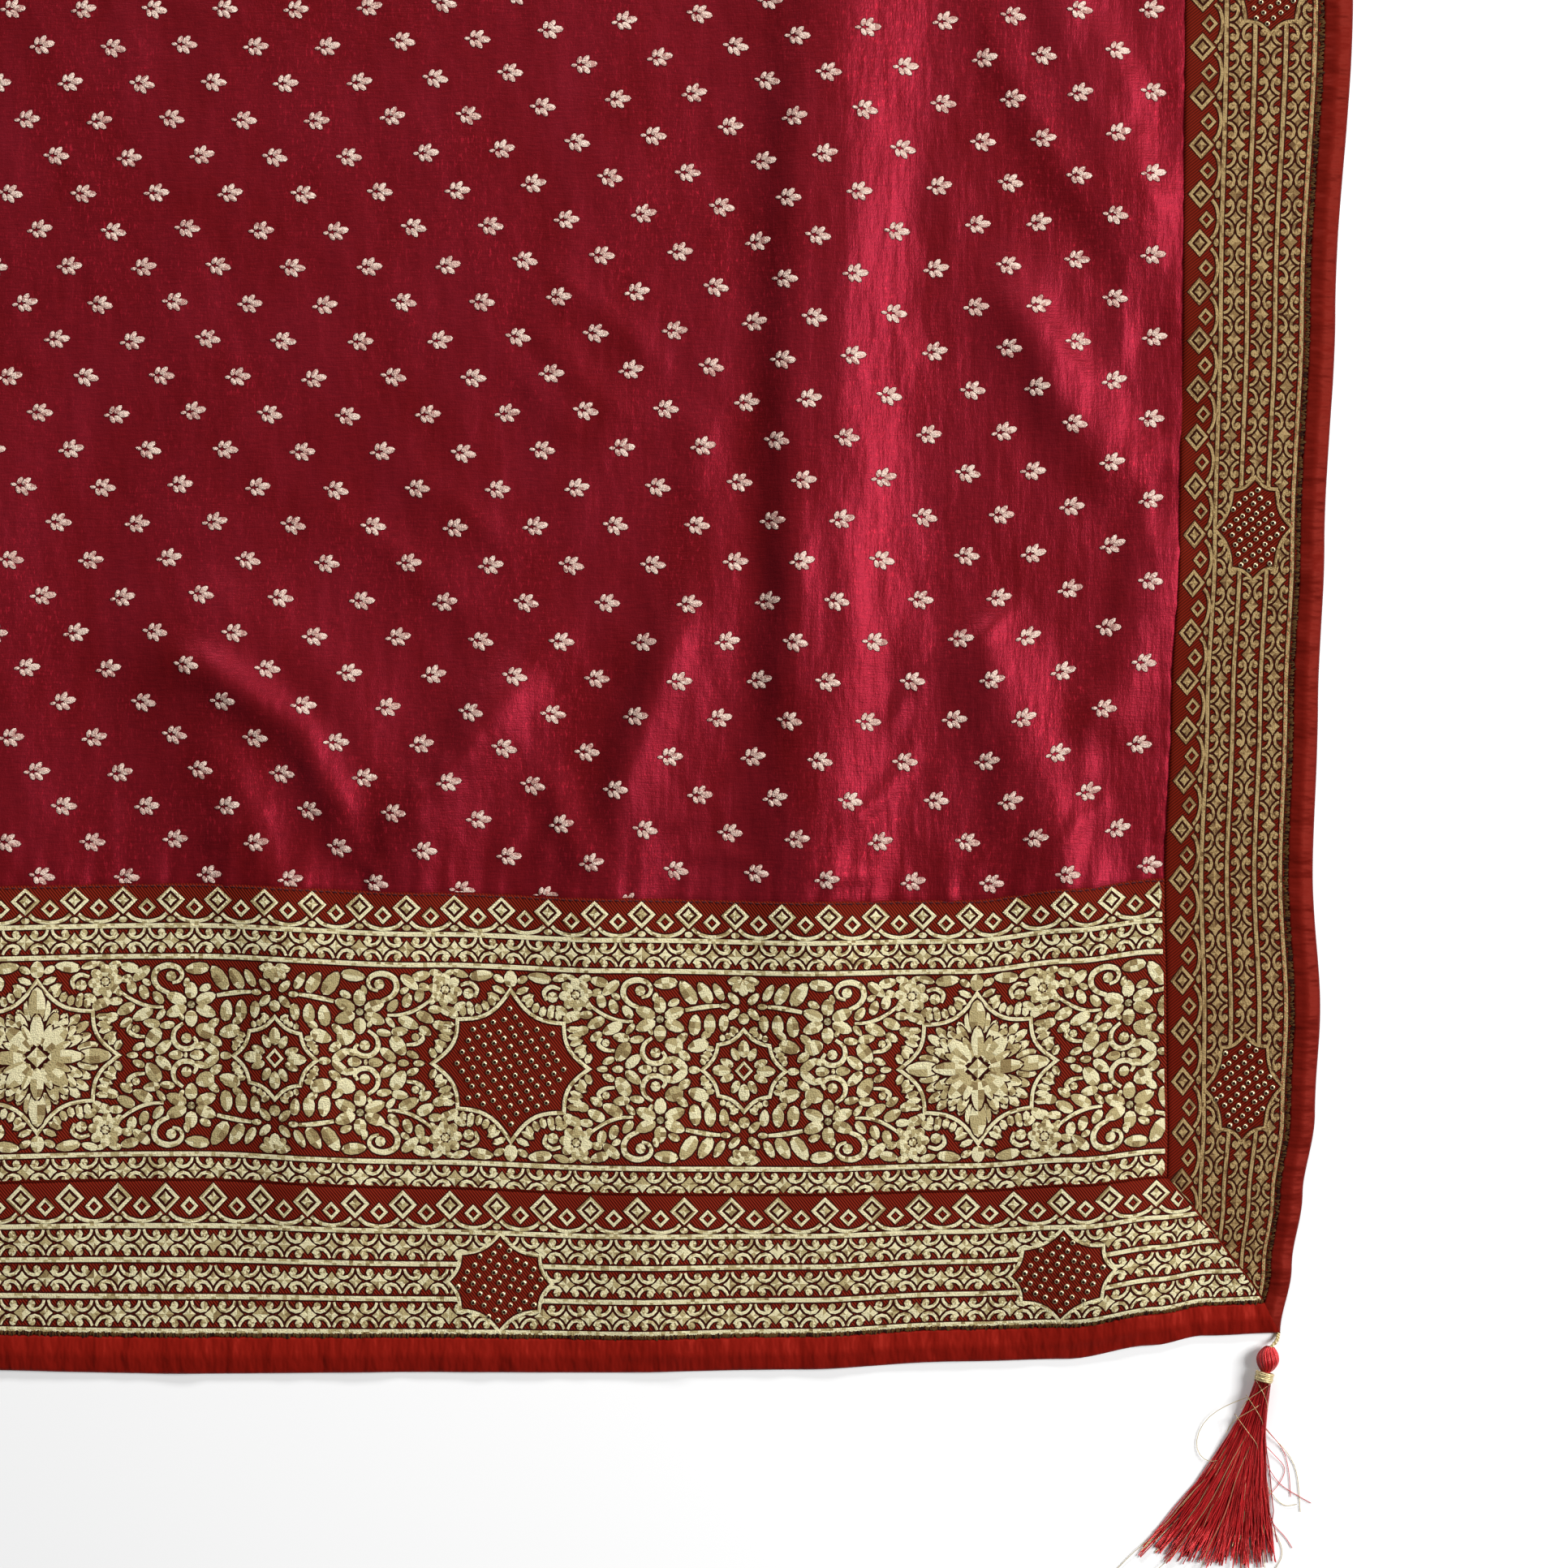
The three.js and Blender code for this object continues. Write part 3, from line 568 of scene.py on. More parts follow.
def silk_material():
    """Shot silk: a wine ground with a plum cast in places, short bright slubs that come in clouds, and
    crinkles that are deeper towards the right-hand edge."""
    material, tree, shader = node_material(
        "silk_ground", metallic=0.36, roughness=0.42, specular_tint=(1.0, 0.10, 0.30), specular_ior_level=0.5,
        sheen_weight=0.04, sheen_roughness=0.4, sheen_tint=(0.9, 0.08, 0.25),
    )
    patches = stretched_noise(tree, (26, 14, 1))
    ground = ramp(tree, patches, (0.35, (0.150, 0.0054, 0.0062)), (0.65, (0.180, 0.0080, 0.0126)))
    slubs = ramp(tree, stretched_noise(tree, (1100, 300, 1), 4.0, 0.75), (0.54, (0, 0, 0)), (0.68, (1, 1, 1)))
    clouds = ramp(tree, stretched_noise(tree, (22, 13, 1)), (0.42, (0.1, 0.1, 0.1)), (0.62, (1, 1, 1)))
    bright = blended(tree, "MULTIPLY", 1.0, slubs, clouds)
    streaked = blended(tree, "MIX", bright, ground, (0.42, 0.016, 0.030))
    cross = stretched_noise(tree, (160, 1300, 1), 3.0, 0.75)
    shade = ramp(tree, cross, (0.3, (0.74, 0.74, 0.74)), (0.66, (1.06, 1.0, 1.0)))
    tree.links.new(blended(tree, "MULTIPLY", 1.0, streaked, shade), shader.inputs["Base Color"])

    apart = tree.nodes.new("ShaderNodeSeparateXYZ")
    tree.links.new(tree.nodes.new("ShaderNodeTexCoord").outputs["Object"], apart.inputs[0])
    rightwards = tree.nodes.new("ShaderNodeMapRange")
    rightwards.interpolation_type = "SMOOTHSTEP"
    set_inputs(rightwards, From_Min=CRINKLED_X[0], From_Max=CRINKLED_X[1], To_Min=0.3, To_Max=1.0)
    tree.links.new(apart.outputs["X"], rightwards.inputs["Value"])
    crinkle = tree.nodes.new("ShaderNodeMath")
    crinkle.operation = "MULTIPLY"
    tree.links.new(stretched_noise(tree, (150, 24, 1), 5.0, 0.62), crinkle.inputs[0])
    tree.links.new(rightwards.outputs["Result"], crinkle.inputs[1])

    below = bump(tree, None, cross, 0.12)
    below = bump(tree, None, crinkle.outputs[0], 0.62, below)
    below = bump(tree, None, stretched_noise(tree, (48, 22, 1), 3.0, 0.5), 2.0, below)
    bump(tree, shader, stretched_noise(tree, (1500, 900, 1), 2.0, 0.6), 0.10, below)
    return material


def twill_material(name, dark, light, degrees):
    material, tree, shader = node_material(
        name, roughness=0.55, metallic=0.12, specular_ior_level=0.08, specular_tint=(1.0, 0.3, 0.2)
    )
    twill = diagonal_bands(tree, 0.92, math.radians(degrees))
    tree.links.new(ramp(tree, twill, (0.2, dark), (0.7, light)), shader.inputs["Base Color"])
    bump(tree, shader, twill, 0.16)
    return material


def zari_material(name, colour, roughness=0.42, metallic=0.4):
    """Woven gold thread, with a coarse grain."""
    material, tree, shader = node_material(
        name, base_color=colour, roughness=roughness, metallic=metallic, specular_ior_level=0.3
    )
    below = bump(tree, None, stretched_noise(tree, (2100, 900, 900), 2.0, 0.7), 0.7)
    bump(tree, shader, stretched_noise(tree, (800, 2300, 900), 2.0, 0.7), 0.7, below)
    return material


def satin_material(name, colour, stretch):
    """Satin, dented along its fold as stretch says."""
    material, tree, shader = node_material(
        name, base_color=colour, metallic=0.1, roughness=0.5, specular_ior_level=0.1,
        specular_tint=(1.0, 0.3, 0.2),
    )
    below = bump(tree, None, stretched_noise(tree, stretch, 3.0, 0.5), 3.4)
    bump(tree, shader, stretched_noise(tree, (1200, 1200, 1), 1.0, 0.5), 0.05, below)
    return material


def plain_material(name, colour, roughness, metallic=0.0, **more):
    return node_material(name, base_color=colour, roughness=roughness, metallic=metallic, **more)[0]


def shadow_material(name, colour):
    """The dark line round a woven shape: a painted shadow."""
    return plain_material(name, colour, 0.7, specular_ior_level=0.05)


def thread_material(name, colour, roughness=0.42, metallic=0.2, grain_mm=0.15, gloss=0.5):
    material, tree, shader = node_material(
        name, base_color=colour, roughness=roughness, metallic=metallic, specular_ior_level=gloss
    )
    bump(tree, shader, stretched_noise(tree, (2200, 2200, 2200), 2.0, 0.6), grain_mm)
    return material


SILK = silk_material()
PALLU_TWILL = twill_material("pallu_twill", (0.066, 0.0055, 0.0026), (0.172, 0.0130, 0.0056), -38)
# The edge lace's twill is a darker copy of the pallu twill, turned: painted shade, as its turned threads
# catch less light
EDGE_TWILL = twill_material("edge_twill", (0.053, 0.0038, 0.0018), (0.138, 0.0088, 0.0034), 52)
SATIN = satin_material("satin_binding", (0.200, 0.0076, 0.0042), (95, 34, 1))
# The long edges' binding is a darker copy of the satin: painted shade that keeps it dark beside the window
# lamp on the right
EDGE_SATIN = satin_material("edge_satin", (0.120, 0.0060, 0.0034), (34, 95, 1))
# Each woven gold comes in three shades, and its faces are shared out among them, as threads catch the light.
PALE_ZARI, SHADED_ZARI = (
    [zari_material(name + end, colour) for end, colour in zip(("", "_mid", "_deep"), colours)]
    for name, colours in (
        ("pale_zari", ((0.84, 0.76, 0.47), (0.50, 0.40, 0.19), (0.30, 0.21, 0.085))),
        # the edge lace's gold is a darker, olive copy of the pale gold: painted shade, as its turned threads
        # catch less light
        ("old_zari", ((0.41, 0.28, 0.12), (0.25, 0.15, 0.056), (0.15, 0.075, 0.025))),
    )
)
BUTTA_ZARI = [
    zari_material("butta_zari", (0.80, 0.60, 0.50), 0.4, 0.3),
    zari_material("butta_zari_mid", (0.66, 0.43, 0.36)), zari_material("butta_zari_deep", (0.50, 0.26, 0.22)),
]
# The dark lines round the woven shapes of the lace, the edge lace and the small flowers: painted shadow
SHADOW = shadow_material("woven_shadow", (0.030, 0.0035, 0.002))
EDGE_SHADOW = shadow_material("edge_shadow", (0.024, 0.004, 0.0015))
BUTTA_SHADOW = shadow_material("butta_shadow", (0.060, 0.003, 0.007))
BEAD = plain_material("bead_gold", (0.70, 0.60, 0.37), 0.34, 0.85)
# The dip in each bead's top is near black: painted shade in its hole
BEAD_HOLE = plain_material("bead_hole", (0.022, 0.006, 0.003), 0.6, specular_ior_level=0.1)
CRIMSON = thread_material("crimson_thread", (0.62, 0.022, 0.026), 0.3, 0.3)
DEEP_CRIMSON = thread_material("deep_crimson_thread", (0.34, 0.008, 0.008), 0.35, 0.25)
GOLD_THREAD = thread_material("gold_thread", (0.62, 0.50, 0.26), 0.35, 0.6)
OVERLOCK = thread_material("overlock_thread", (0.085, 0.040, 0.012), 0.6, 0.1, 0.3, 0.05)
OVERLOCK_DARK = thread_material("overlock_dark", (0.022, 0.007, 0.004), 0.6, 0.1, 0.3, 0.05)
ORANGE_STITCH = thread_material("orange_stitch", (0.46, 0.035, 0.012))
# A near-black thread, which also paints the shadow line round each stitch
DARK_STITCH_AND_SHADOW = thread_material("dark_stitch", (0.05, 0.008, 0.010), gloss=0.1)

# ---------------------------------------------------------------- the woven gold, charted in mm

# Kinds of face: woven shapes, the brighter thin lines, and the dark line of painted shadow round both
WOVEN, STROKE, SHADOW_LINE = 0, 1, 2


def column(count, value):
    return np.full((count, 1), value)


class Collector:
    """Gathers points, faces and kinds of face for one mesh."""

    def __init__(self):
        self.points, self.faces, self.kinds, self.count = [], [], [], 0

    def gather(self, points, faces, kinds):
        self.points.append(points)
        self.faces.append(faces + self.count)
        self.kinds.append(np.broadcast_to(kinds, len(faces)))
        self.count += len(points)

    def arrays(self):
        return np.vstack(self.points), np.vstack(self.faces), np.concatenate(self.kinds)


class Chart(Collector):
    """Shapes in a plane, each with a raised middle and a dark line of painted shadow round it. Points are
    x, y and height above the cloth. A chart that is seen only from afar has flat shapes and no dark line."""

    LINE = 0.6  # width of the dark line of painted shadow
    LINE_Z, EDGE_Z, FLAT_Z = 0.07, 0.17, 0.34  # heights of the painted shadow line, of a shape's edge, and of a flat shape
    SHARP = 0.5  # a ribbon narrower than this at an end is pointed there

    def __init__(self, full=True):
        super().__init__()
        self.full, self.base = full, 0.0

    def add(self, points, faces, kinds):
        self.gather(np.asarray(points, float) + (0, 0, self.base), np.asarray(faces), kinds)

    def ribbon(self, path, widths, rise=0.22, closed=False, kind=STROKE):
        path = np.asarray(path, float)
        widths = np.broadcast_to(np.asarray(widths, float), len(path))
        if closed:
            ahead, behind = np.roll(path, -1, 0), np.roll(path, 1, 0)
        else:
            ahead = np.vstack([path[1:], 2 * path[-1] - path[-2]])
            behind = np.vstack([2 * path[0] - path[1], path[:-1]])
        first, second = path - behind, ahead - path
        first /= np.linalg.norm(first, axis=1, keepdims=True) + 1e-9
        second /= np.linalg.norm(second, axis=1, keepdims=True) + 1e-9
        middle = first + second
        middle /= np.linalg.norm(middle, axis=1, keepdims=True) + 1e-9
        across = np.stack([-middle[:, 1], middle[:, 0]], 1)
        stretch = 1 / np.maximum(0.45, (first * middle).sum(1))
        half = (widths / 2 * stretch)[:, None]
        rows = len(path)
        if self.full:
            top = (self.EDGE_Z + np.minimum(1, widths / (np.max(widths) * 0.8)) * rise)[:, None]
            tips = np.zeros((rows, 2))
            if not closed and widths[-1] < self.SHARP:
                tips[-1] = middle[-1] * self.LINE
            if not closed and widths[0] < self.SHARP:
                tips[0] = -middle[0] * self.LINE
            # the outer lanes are the dark line of painted shadow
            skirt = half + self.LINE
            line, edge = column(rows, self.LINE_Z), column(rows, self.EDGE_Z)
            lanes = [
                (path - across * skirt + tips, line), (path - across * half, edge), (path, top),
                (path + across * half, edge), (path + across * skirt + tips, line),
            ]
            kinds = (SHADOW_LINE, kind, kind, SHADOW_LINE)
        else:
            flat = column(rows, self.FLAT_Z)
            lanes = [(path - across * half, flat), (path + across * half, flat)]
            kinds = (kind,)
        points = np.stack([np.hstack(lane) for lane in lanes], 1).reshape(-1, 3)
        wide = len(lanes)
        i = np.arange(rows if closed else rows - 1)
        here, ahead = i * wide, (i + 1) % rows * wide
        faces = [np.stack([ahead + k, ahead + k + 1, here + k + 1, here + k], 1) for k in range(wide - 1)]
        self.add(points, np.vstack(faces), np.repeat(kinds, len(i)))

    def curve(self, points, widths):
        """A ribbon along a smooth curve through the given points."""
        p = np.asarray(points, float)
        q = np.vstack([2 * p[0] - p[1], p, 2 * p[-1] - p[-2]])
        t = np.linspace(0, 1, 3 if self.full else 1, endpoint=False)[:, None]
        runs = []
        for a, b, c, d in zip(q, q[1:], q[2:], q[3:]):
            runs.append(0.5 * (2 * b + (c - a) * t + (2 * a - 5 * b + 4 * c - d) * t**2
                               + (3 * b - a - 3 * c + d) * t**3))
        path = np.vstack(runs + [p[-1:]])
        if np.ndim(widths):
            widths = np.interp(np.linspace(0, 1, len(path)), np.linspace(0, 1, len(widths)), widths)
        self.ribbon(path, widths)

    def leaf(self, x, y, angle, length, width, steps=6, blunt=False, rise=0.26):
        """A leaf about its middle: full near its stem and pointed ahead, or, when it is blunt, rounded."""
        if not self.full:
            steps = 3
        t = 0.5 - 0.5 * np.cos(np.pi * np.linspace(0, 1, steps))
        a = math.radians(angle)
        along = (t - 0.5) * length
        path = np.stack([x + along * math.cos(a), y + along * math.sin(a)], 1)
        skewed = t if blunt else t**0.86
        shape = np.sqrt(np.maximum(0, 1 - (2 * skewed - 1) ** 2)) ** (1 if blunt else 1.15)
        self.ribbon(path, np.maximum(0.05, width * shape), rise, kind=WOVEN)

    def fan(self, rim, centre, rise=0.22):
        """A closed outline with a raised middle."""
        rim, centre = np.asarray(rim, float), np.asarray(centre, float)
        count = len(rim)
        i = np.arange(count)
        j = (i + 1) % count
        if not self.full:
            points = np.vstack([np.hstack([rim, column(count, self.FLAT_Z)]), [(*centre, self.FLAT_Z)]])
            middle = np.full(count, count)
            self.add(points, np.stack([i, j, middle, middle], 1), WOVEN)
            return
        out = rim - centre
        # an outer ring of painted shadow round the shape
        skirt = rim + out / np.linalg.norm(out, axis=1, keepdims=True) * self.LINE
        points = np.vstack([
            np.hstack([skirt, column(count, self.LINE_Z)]), np.hstack([rim, column(count, self.EDGE_Z)]),
            [(*centre, self.EDGE_Z + rise)],
        ])
        middle = np.full(count, 2 * count)
        faces = np.vstack([
            np.stack([i, j, j + count, i + count], 1), np.stack([i + count, j + count, middle, middle], 1)
        ])
        self.add(points, faces, np.repeat((SHADOW_LINE, WOVEN), count))

    def dot(self, x, y, radius, rise=0.24):
        a = np.linspace(0, 2 * np.pi, 9 if self.full else 6)[:-1]
        self.fan(np.stack([x + radius * np.cos(a), y + radius * np.sin(a)], 1), (x, y), rise)

    def diamond_ring(self, x, y, half_w, half_h, band):
        corners = np.array([(half_w, 0), (0, half_h), (-half_w, 0), (0, -half_h)])
        inner = 1 - band / math.hypot(half_w, half_h)
        self.ribbon(np.array([x, y]) + corners * inner, band, closed=True)

    def star(self, x, y, half, waist=0.42):
        tips = [(half, 0), (0, half), (-half, 0), (0, -half)]
        notch = half * waist
        notches = [(notch, notch), (-notch, notch), (-notch, -notch), (notch, -notch)]
        self.fan(np.array([p for pair in zip(tips, notches) for p in pair]) + (x, y), (x, y))

    def flower(self, x, y, angles, inner, outer, width, ring, blunt=False):
        for a in angles:
            self.polar_leaf(a, inner, outer - inner, width, (x, y), blunt=blunt)
        self.dot(x, y, ring)

    def polar_leaf(self, angle, inner, length, width, middle=(0, 0), **more):
        """A leaf that points away from the given middle, and begins the inner distance away from it."""
        r, a = inner + length / 2, math.radians(angle)
        self.leaf(middle[0] + r * math.cos(a), middle[1] + r * math.sin(a), angle, length, width, **more)


def flipped(chart, flip_x, flip_y):
    """A chart's arrays, mirrored, with the faces still turned up."""
    points, faces, kinds = chart.arrays()
    points = points * (-1 if flip_x else 1, -1 if flip_y else 1, 1)
    return points, faces[:, ::-1] if flip_x != flip_y else faces, kinds


def copied(faces, copies, points_each):
    """The faces of that many copies of a mesh, one after the other."""
    return (faces[None] + np.arange(copies)[:, None, None] * points_each).reshape(-1, 4)


# For each kind of face, the share in the first shade, and in the first two. Painted shadow has none of them.
SHADE_SHARES = np.array([(0.46, 0.88), (0.74, 0.97), (-1, -1)])


class Gold(Collector):
    """Collects charted shapes at their places in cloth coordinates, and makes one piece of them."""

    def __init__(self, name, materials, slot_name):
        super().__init__()
        self.name, self.materials, self.slot_name = name, materials, slot_name

    def place(self, chart, places, axes=((-1, 0), (0, 1)), trim=None):
        """Copies a chart to each of the (u, v) places. axes says how its x and y run in u and v. trim(u, v)
        gives the moved points and says which of them were moved; a face whose points all were is dropped."""
        points, faces, kinds = chart if isinstance(chart, tuple) else chart.arrays()
        places = np.asarray(places, float).reshape(-1, 2)
        copies = len(places)
        if not copies:
            return
        (xu, xv), (yu, yv) = axes
        turned = np.stack([
            points[:, 0] * xu + points[:, 1] * yu, points[:, 0] * xv + points[:, 1] * yv, points[:, 2]
        ], 1)
        if xu * yv - xv * yu > 0:  # u runs towards -x, so an unmirrored chart has a negative turn
            faces = faces[:, ::-1]
        moved = np.repeat(turned[None], copies, 0)
        moved[:, :, :2] += places[:, None, :]
        moved = moved.reshape(-1, 3)
        faces, kinds = copied(faces, copies, len(points)), np.tile(kinds, copies)
        if trim is not None:
            moved[:, 0], moved[:, 1], pushed = trim(moved[:, 0], moved[:, 1])
            kept = ~pushed[faces].all(1)
            faces, kinds = faces[kept], kinds[kept]
        self.gather(moved, faces, kinds)

    def build(self, clip=None):
        """clip(u, v) moves points that lie over a seam back to it, and what is wholly over it is dropped."""
        points, faces, kinds = self.arrays()
        shade = rng.uniform(0, 1, len(kinds))
        # a face of the painted shadow line takes the fourth material
        kinds = (shade[:, None] > SHADE_SHARES[kinds]).sum(1) + (kinds == SHADOW_LINE)
        # a reversed triangle repeats its first corner, so it is turned until it repeats its third
        reversed_triangle = faces[:, 0] == faces[:, 1]
        faces[reversed_triangle] = faces[reversed_triangle][:, [2, 3, 0, 1]]
        u, v, lift = points.T
        if clip is not None:
            clipped_u, clipped_v = clip(u, v)
            over = (np.abs(clipped_u - u) > 1e-6) | (np.abs(clipped_v - v) > 1e-6)
            kept = ~over[faces].all(1)
            faces, kinds = faces[kept], kinds[kept]
            u, v = clipped_u, clipped_v
        used = np.zeros(len(u), bool)
        used[faces] = True
        index = np.cumsum(used) - 1
        u, v, lift = u[used], v[used], lift[used]
        x, y = lay_out(u, v)
        z = np.maximum(0.1, height(u, v) + lift)
        piece = make_piece(self.name, np.stack([x, y, z], 1), index[faces], self.materials, kinds)


# Rows of the narrow lace, as distances from its inner seam
DIAMOND_T, SMALL_DIAMOND_T, TIP_DOT_T = 6.0, 8.9, 13.3
LACE_LINES = (15.9, 28.0, 41.0, 53.2)
LACE_LATTICE = (21.9, 34.6, 47.2)
LACE_PITCH = 18.2
LINE_WIDTH, LINE_STEP = 1.75, 1.6


def line_segment(step, full=True):
    """One step of a line along a trim. It overlaps the next a little."""
    chart = Chart(full)
    chart.ribbon([(-step / 2 - 0.02, 0), (step / 2 + 0.02, 0)], LINE_WIDTH)
    return chart


def diamond_chart(full):
    """One repeat of the row of diamonds, about a large diamond's middle; y points to the inner seam."""
    chart = Chart(full)
    chart.diamond_ring(0, 0, 5.45, 5.4, 1.3)
    chart.star(0, 0, 2.3, 0.44)
    half = LACE_PITCH / 2
    low = DIAMOND_T - SMALL_DIAMOND_T
    chart.diamond_ring(half, low, 3.4, 3.4, 1.1)
    arc = [(1.5, -5.2), (4.2, -7.3), (half, -8.3), (2 * half - 4.2, -7.3), (2 * half - 1.5, -5.2)]
    chart.curve(arc, 1.35)
    chart.leaf(0, DIAMOND_T - TIP_DOT_T - 0.2, 0, 3.3, 2.3, steps=5, blunt=True)
    return chart


def lattice_star(full):
    chart = Chart(full)
    chart.star(0, 0, 3.3)
    return chart


def lattice_curls(full):
    """The smaller star of the lattice, with a curl at each of its four corners."""
    chart = Chart(full)
    chart.star(0, 0, 2.5)
    upper = [(0.8, 4.7), (1.3, 3.1), (2.6, 1.7), (4.3, 1.1), (6.0, 1.5), (7.0, 2.9)]
    lower = [(0.7, -4.4), (1.4, -2.9), (2.7, -1.5), (4.4, -1.05), (6.1, -1.6), (7.0, -3.0)]
    for path, bud in ((upper, (5.6, 3.2)), (lower, (5.5, -3.3))):
        for side in (1, -1):
            run = np.array(path if full else [path[0], path[2], path[-1]]) * (side, 1)
            chart.ribbon(run, np.linspace(1.0, 1.45, len(run)))
            if full:
                chart.dot(bud[0] * side, bud[1], 1.4)
    return chart


def medallion_outline(half_w, half_h, corner_w, corner_h, sag, steps=7):
    """A closed outline with a point on each axis and between them, joined by arcs that sag inwards."""
    knots = np.array([
        (half_w, 0), (corner_w, corner_h), (0, half_h), (-corner_w, corner_h),
        (-half_w, 0), (-corner_w, -corner_h), (0, -half_h), (corner_w, -corner_h),
    ])
    path = []
    for a, b in zip(knots, np.roll(knots, -1, 0)):
        t = np.linspace(0, 1, steps, endpoint=False)[:, None]
        inward = -(a + b) / np.linalg.norm(a + b)
        path.append(mix(a, b, t) + inward * np.sin(np.pi * t) * sag * np.linalg.norm(b - a))
    return np.vstack(path)


def outline_radius(outline, angle):
    """How far an outline about the origin lies from it, at each angle in radians."""
    own = np.arctan2(outline[:, 1], outline[:, 0])
    order = np.argsort(own)
    own, radius = own[order], np.hypot(*outline[order].T)
    own = np.concatenate([own - 2 * np.pi, own, own + 2 * np.pi])
    return np.interp(angle, own, np.tile(radius, 3))


def within(outline, x, y):
    return np.hypot(x, y) < outline_radius(outline, np.arctan2(y, x))


LACE_MEDALLION = medallion_outline(20.4, 18.6, 15.4, 10.6, 0.13)
LACE_MEDALLION_T = 34.5
NEAR_MEDALLION = (24, 22)  # nothing further than this along and across can lie in a medallion
CLEAR_OF_RIM = 0.55
BROKEN_WITHIN = 10  # a line this near to the medallions' middles is broken by them


class Way:
    """The run of a trim: s along it, and t from its inner seam outwards. It gives the (u, v) of (s, t) from
    the seam's place and a scale across, and axes says how a chart's x and y run in u and v there."""

    def __init__(self, along_u, seam, scale, axes):
        self.along_u, self.seam, self.scale, self.axes = along_u, seam, scale, axes

    def __call__(self, s, t):
        s = np.asarray(s, float)
        across = self.seam + self.scale * t + 0 * s
        return np.stack([s, across] if self.along_u else [across, s], -1)

    def back(self, u, v):
        s, across = (u, v) if self.along_u else (v, u)
        return s.copy(), (across - self.seam) / self.scale


def lace_rows(gold, s, pitch, way, full, diamond_t, lattice_t, alternate, reach=None, trim=None):
    """A row of diamonds, and rows of stars with curls between them. s gives the diamonds' places. If
    alternate is true, every other row is half a repeat along. reach says where the rows may start and end."""
    gold.place(diamond_chart(full), way(s, diamond_t), way.axes)
    star, curls = lattice_star(full), lattice_curls(full)
    for k, t in enumerate(lattice_t):
        for chart, offset in ((star, 0.0), (curls, pitch / 2)):
            at = s + offset + (pitch / 2 * (k % 2) if alternate else 0)
            if reach is not None:
                at = at[(at >= reach[0]) & (at <= reach[1])]
            gold.place(chart, way(at, t), way.axes, trim)


def lace_run(gold, beads, s_from, s_to, medallions, way, full, phase, pitch):
    """Fills a stretch of lace, from one s to another, round medallions at the given places."""
    first = math.ceil((s_from - phase) / pitch)
    s = phase + pitch * np.arange(first, math.floor((s_to - phase) / pitch) + 1)

    def trim(u, v):
        """Moves points that lie within a medallion to its rim."""
        along, t = way.back(u, v)
        pushed = np.zeros(len(u), bool)
        y = LACE_MEDALLION_T - t
        for m in medallions:
            x = along - m
            near = (np.abs(x) < NEAR_MEDALLION[0]) & (np.abs(y) < NEAR_MEDALLION[1])
            angle, r = np.arctan2(y[near], x[near]), np.hypot(x[near], y[near])
            edge = outline_radius(LACE_MEDALLION, angle) + CLEAR_OF_RIM
            inside = r < edge
            index = np.flatnonzero(near)[inside]
            pushed[index] = True
            along[index] = m + (edge * np.cos(angle))[inside]
            t[index] = LACE_MEDALLION_T - (edge * np.sin(angle))[inside]
        return *way(along, t).T, pushed

    lace_rows(gold, s, pitch, way, full, DIAMOND_T, LACE_LATTICE, True, (s_from, s_to), trim)
    step = LINE_STEP if full else 12.0
    at = np.arange(s_from, s_to, step) + step / 2
    segment = line_segment(step, full)
    for t in LACE_LINES:
        crosses_medallions = abs(t - LACE_MEDALLION_T) < BROKEN_WITHIN
        gold.place(segment, way(at, t), way.axes, trim if crosses_medallions else None)
    rim = Chart(full)
    rim.ribbon(LACE_MEDALLION if full else LACE_MEDALLION[::2], 1.25, closed=True)
    gold.place(rim, way(medallions, LACE_MEDALLION_T), way.axes)
    for m in medallions:
        beads.fill(LACE_MEDALLION * 0.9, lambda x, y, m=m: way(m + x, LACE_MEDALLION_T - y), full)


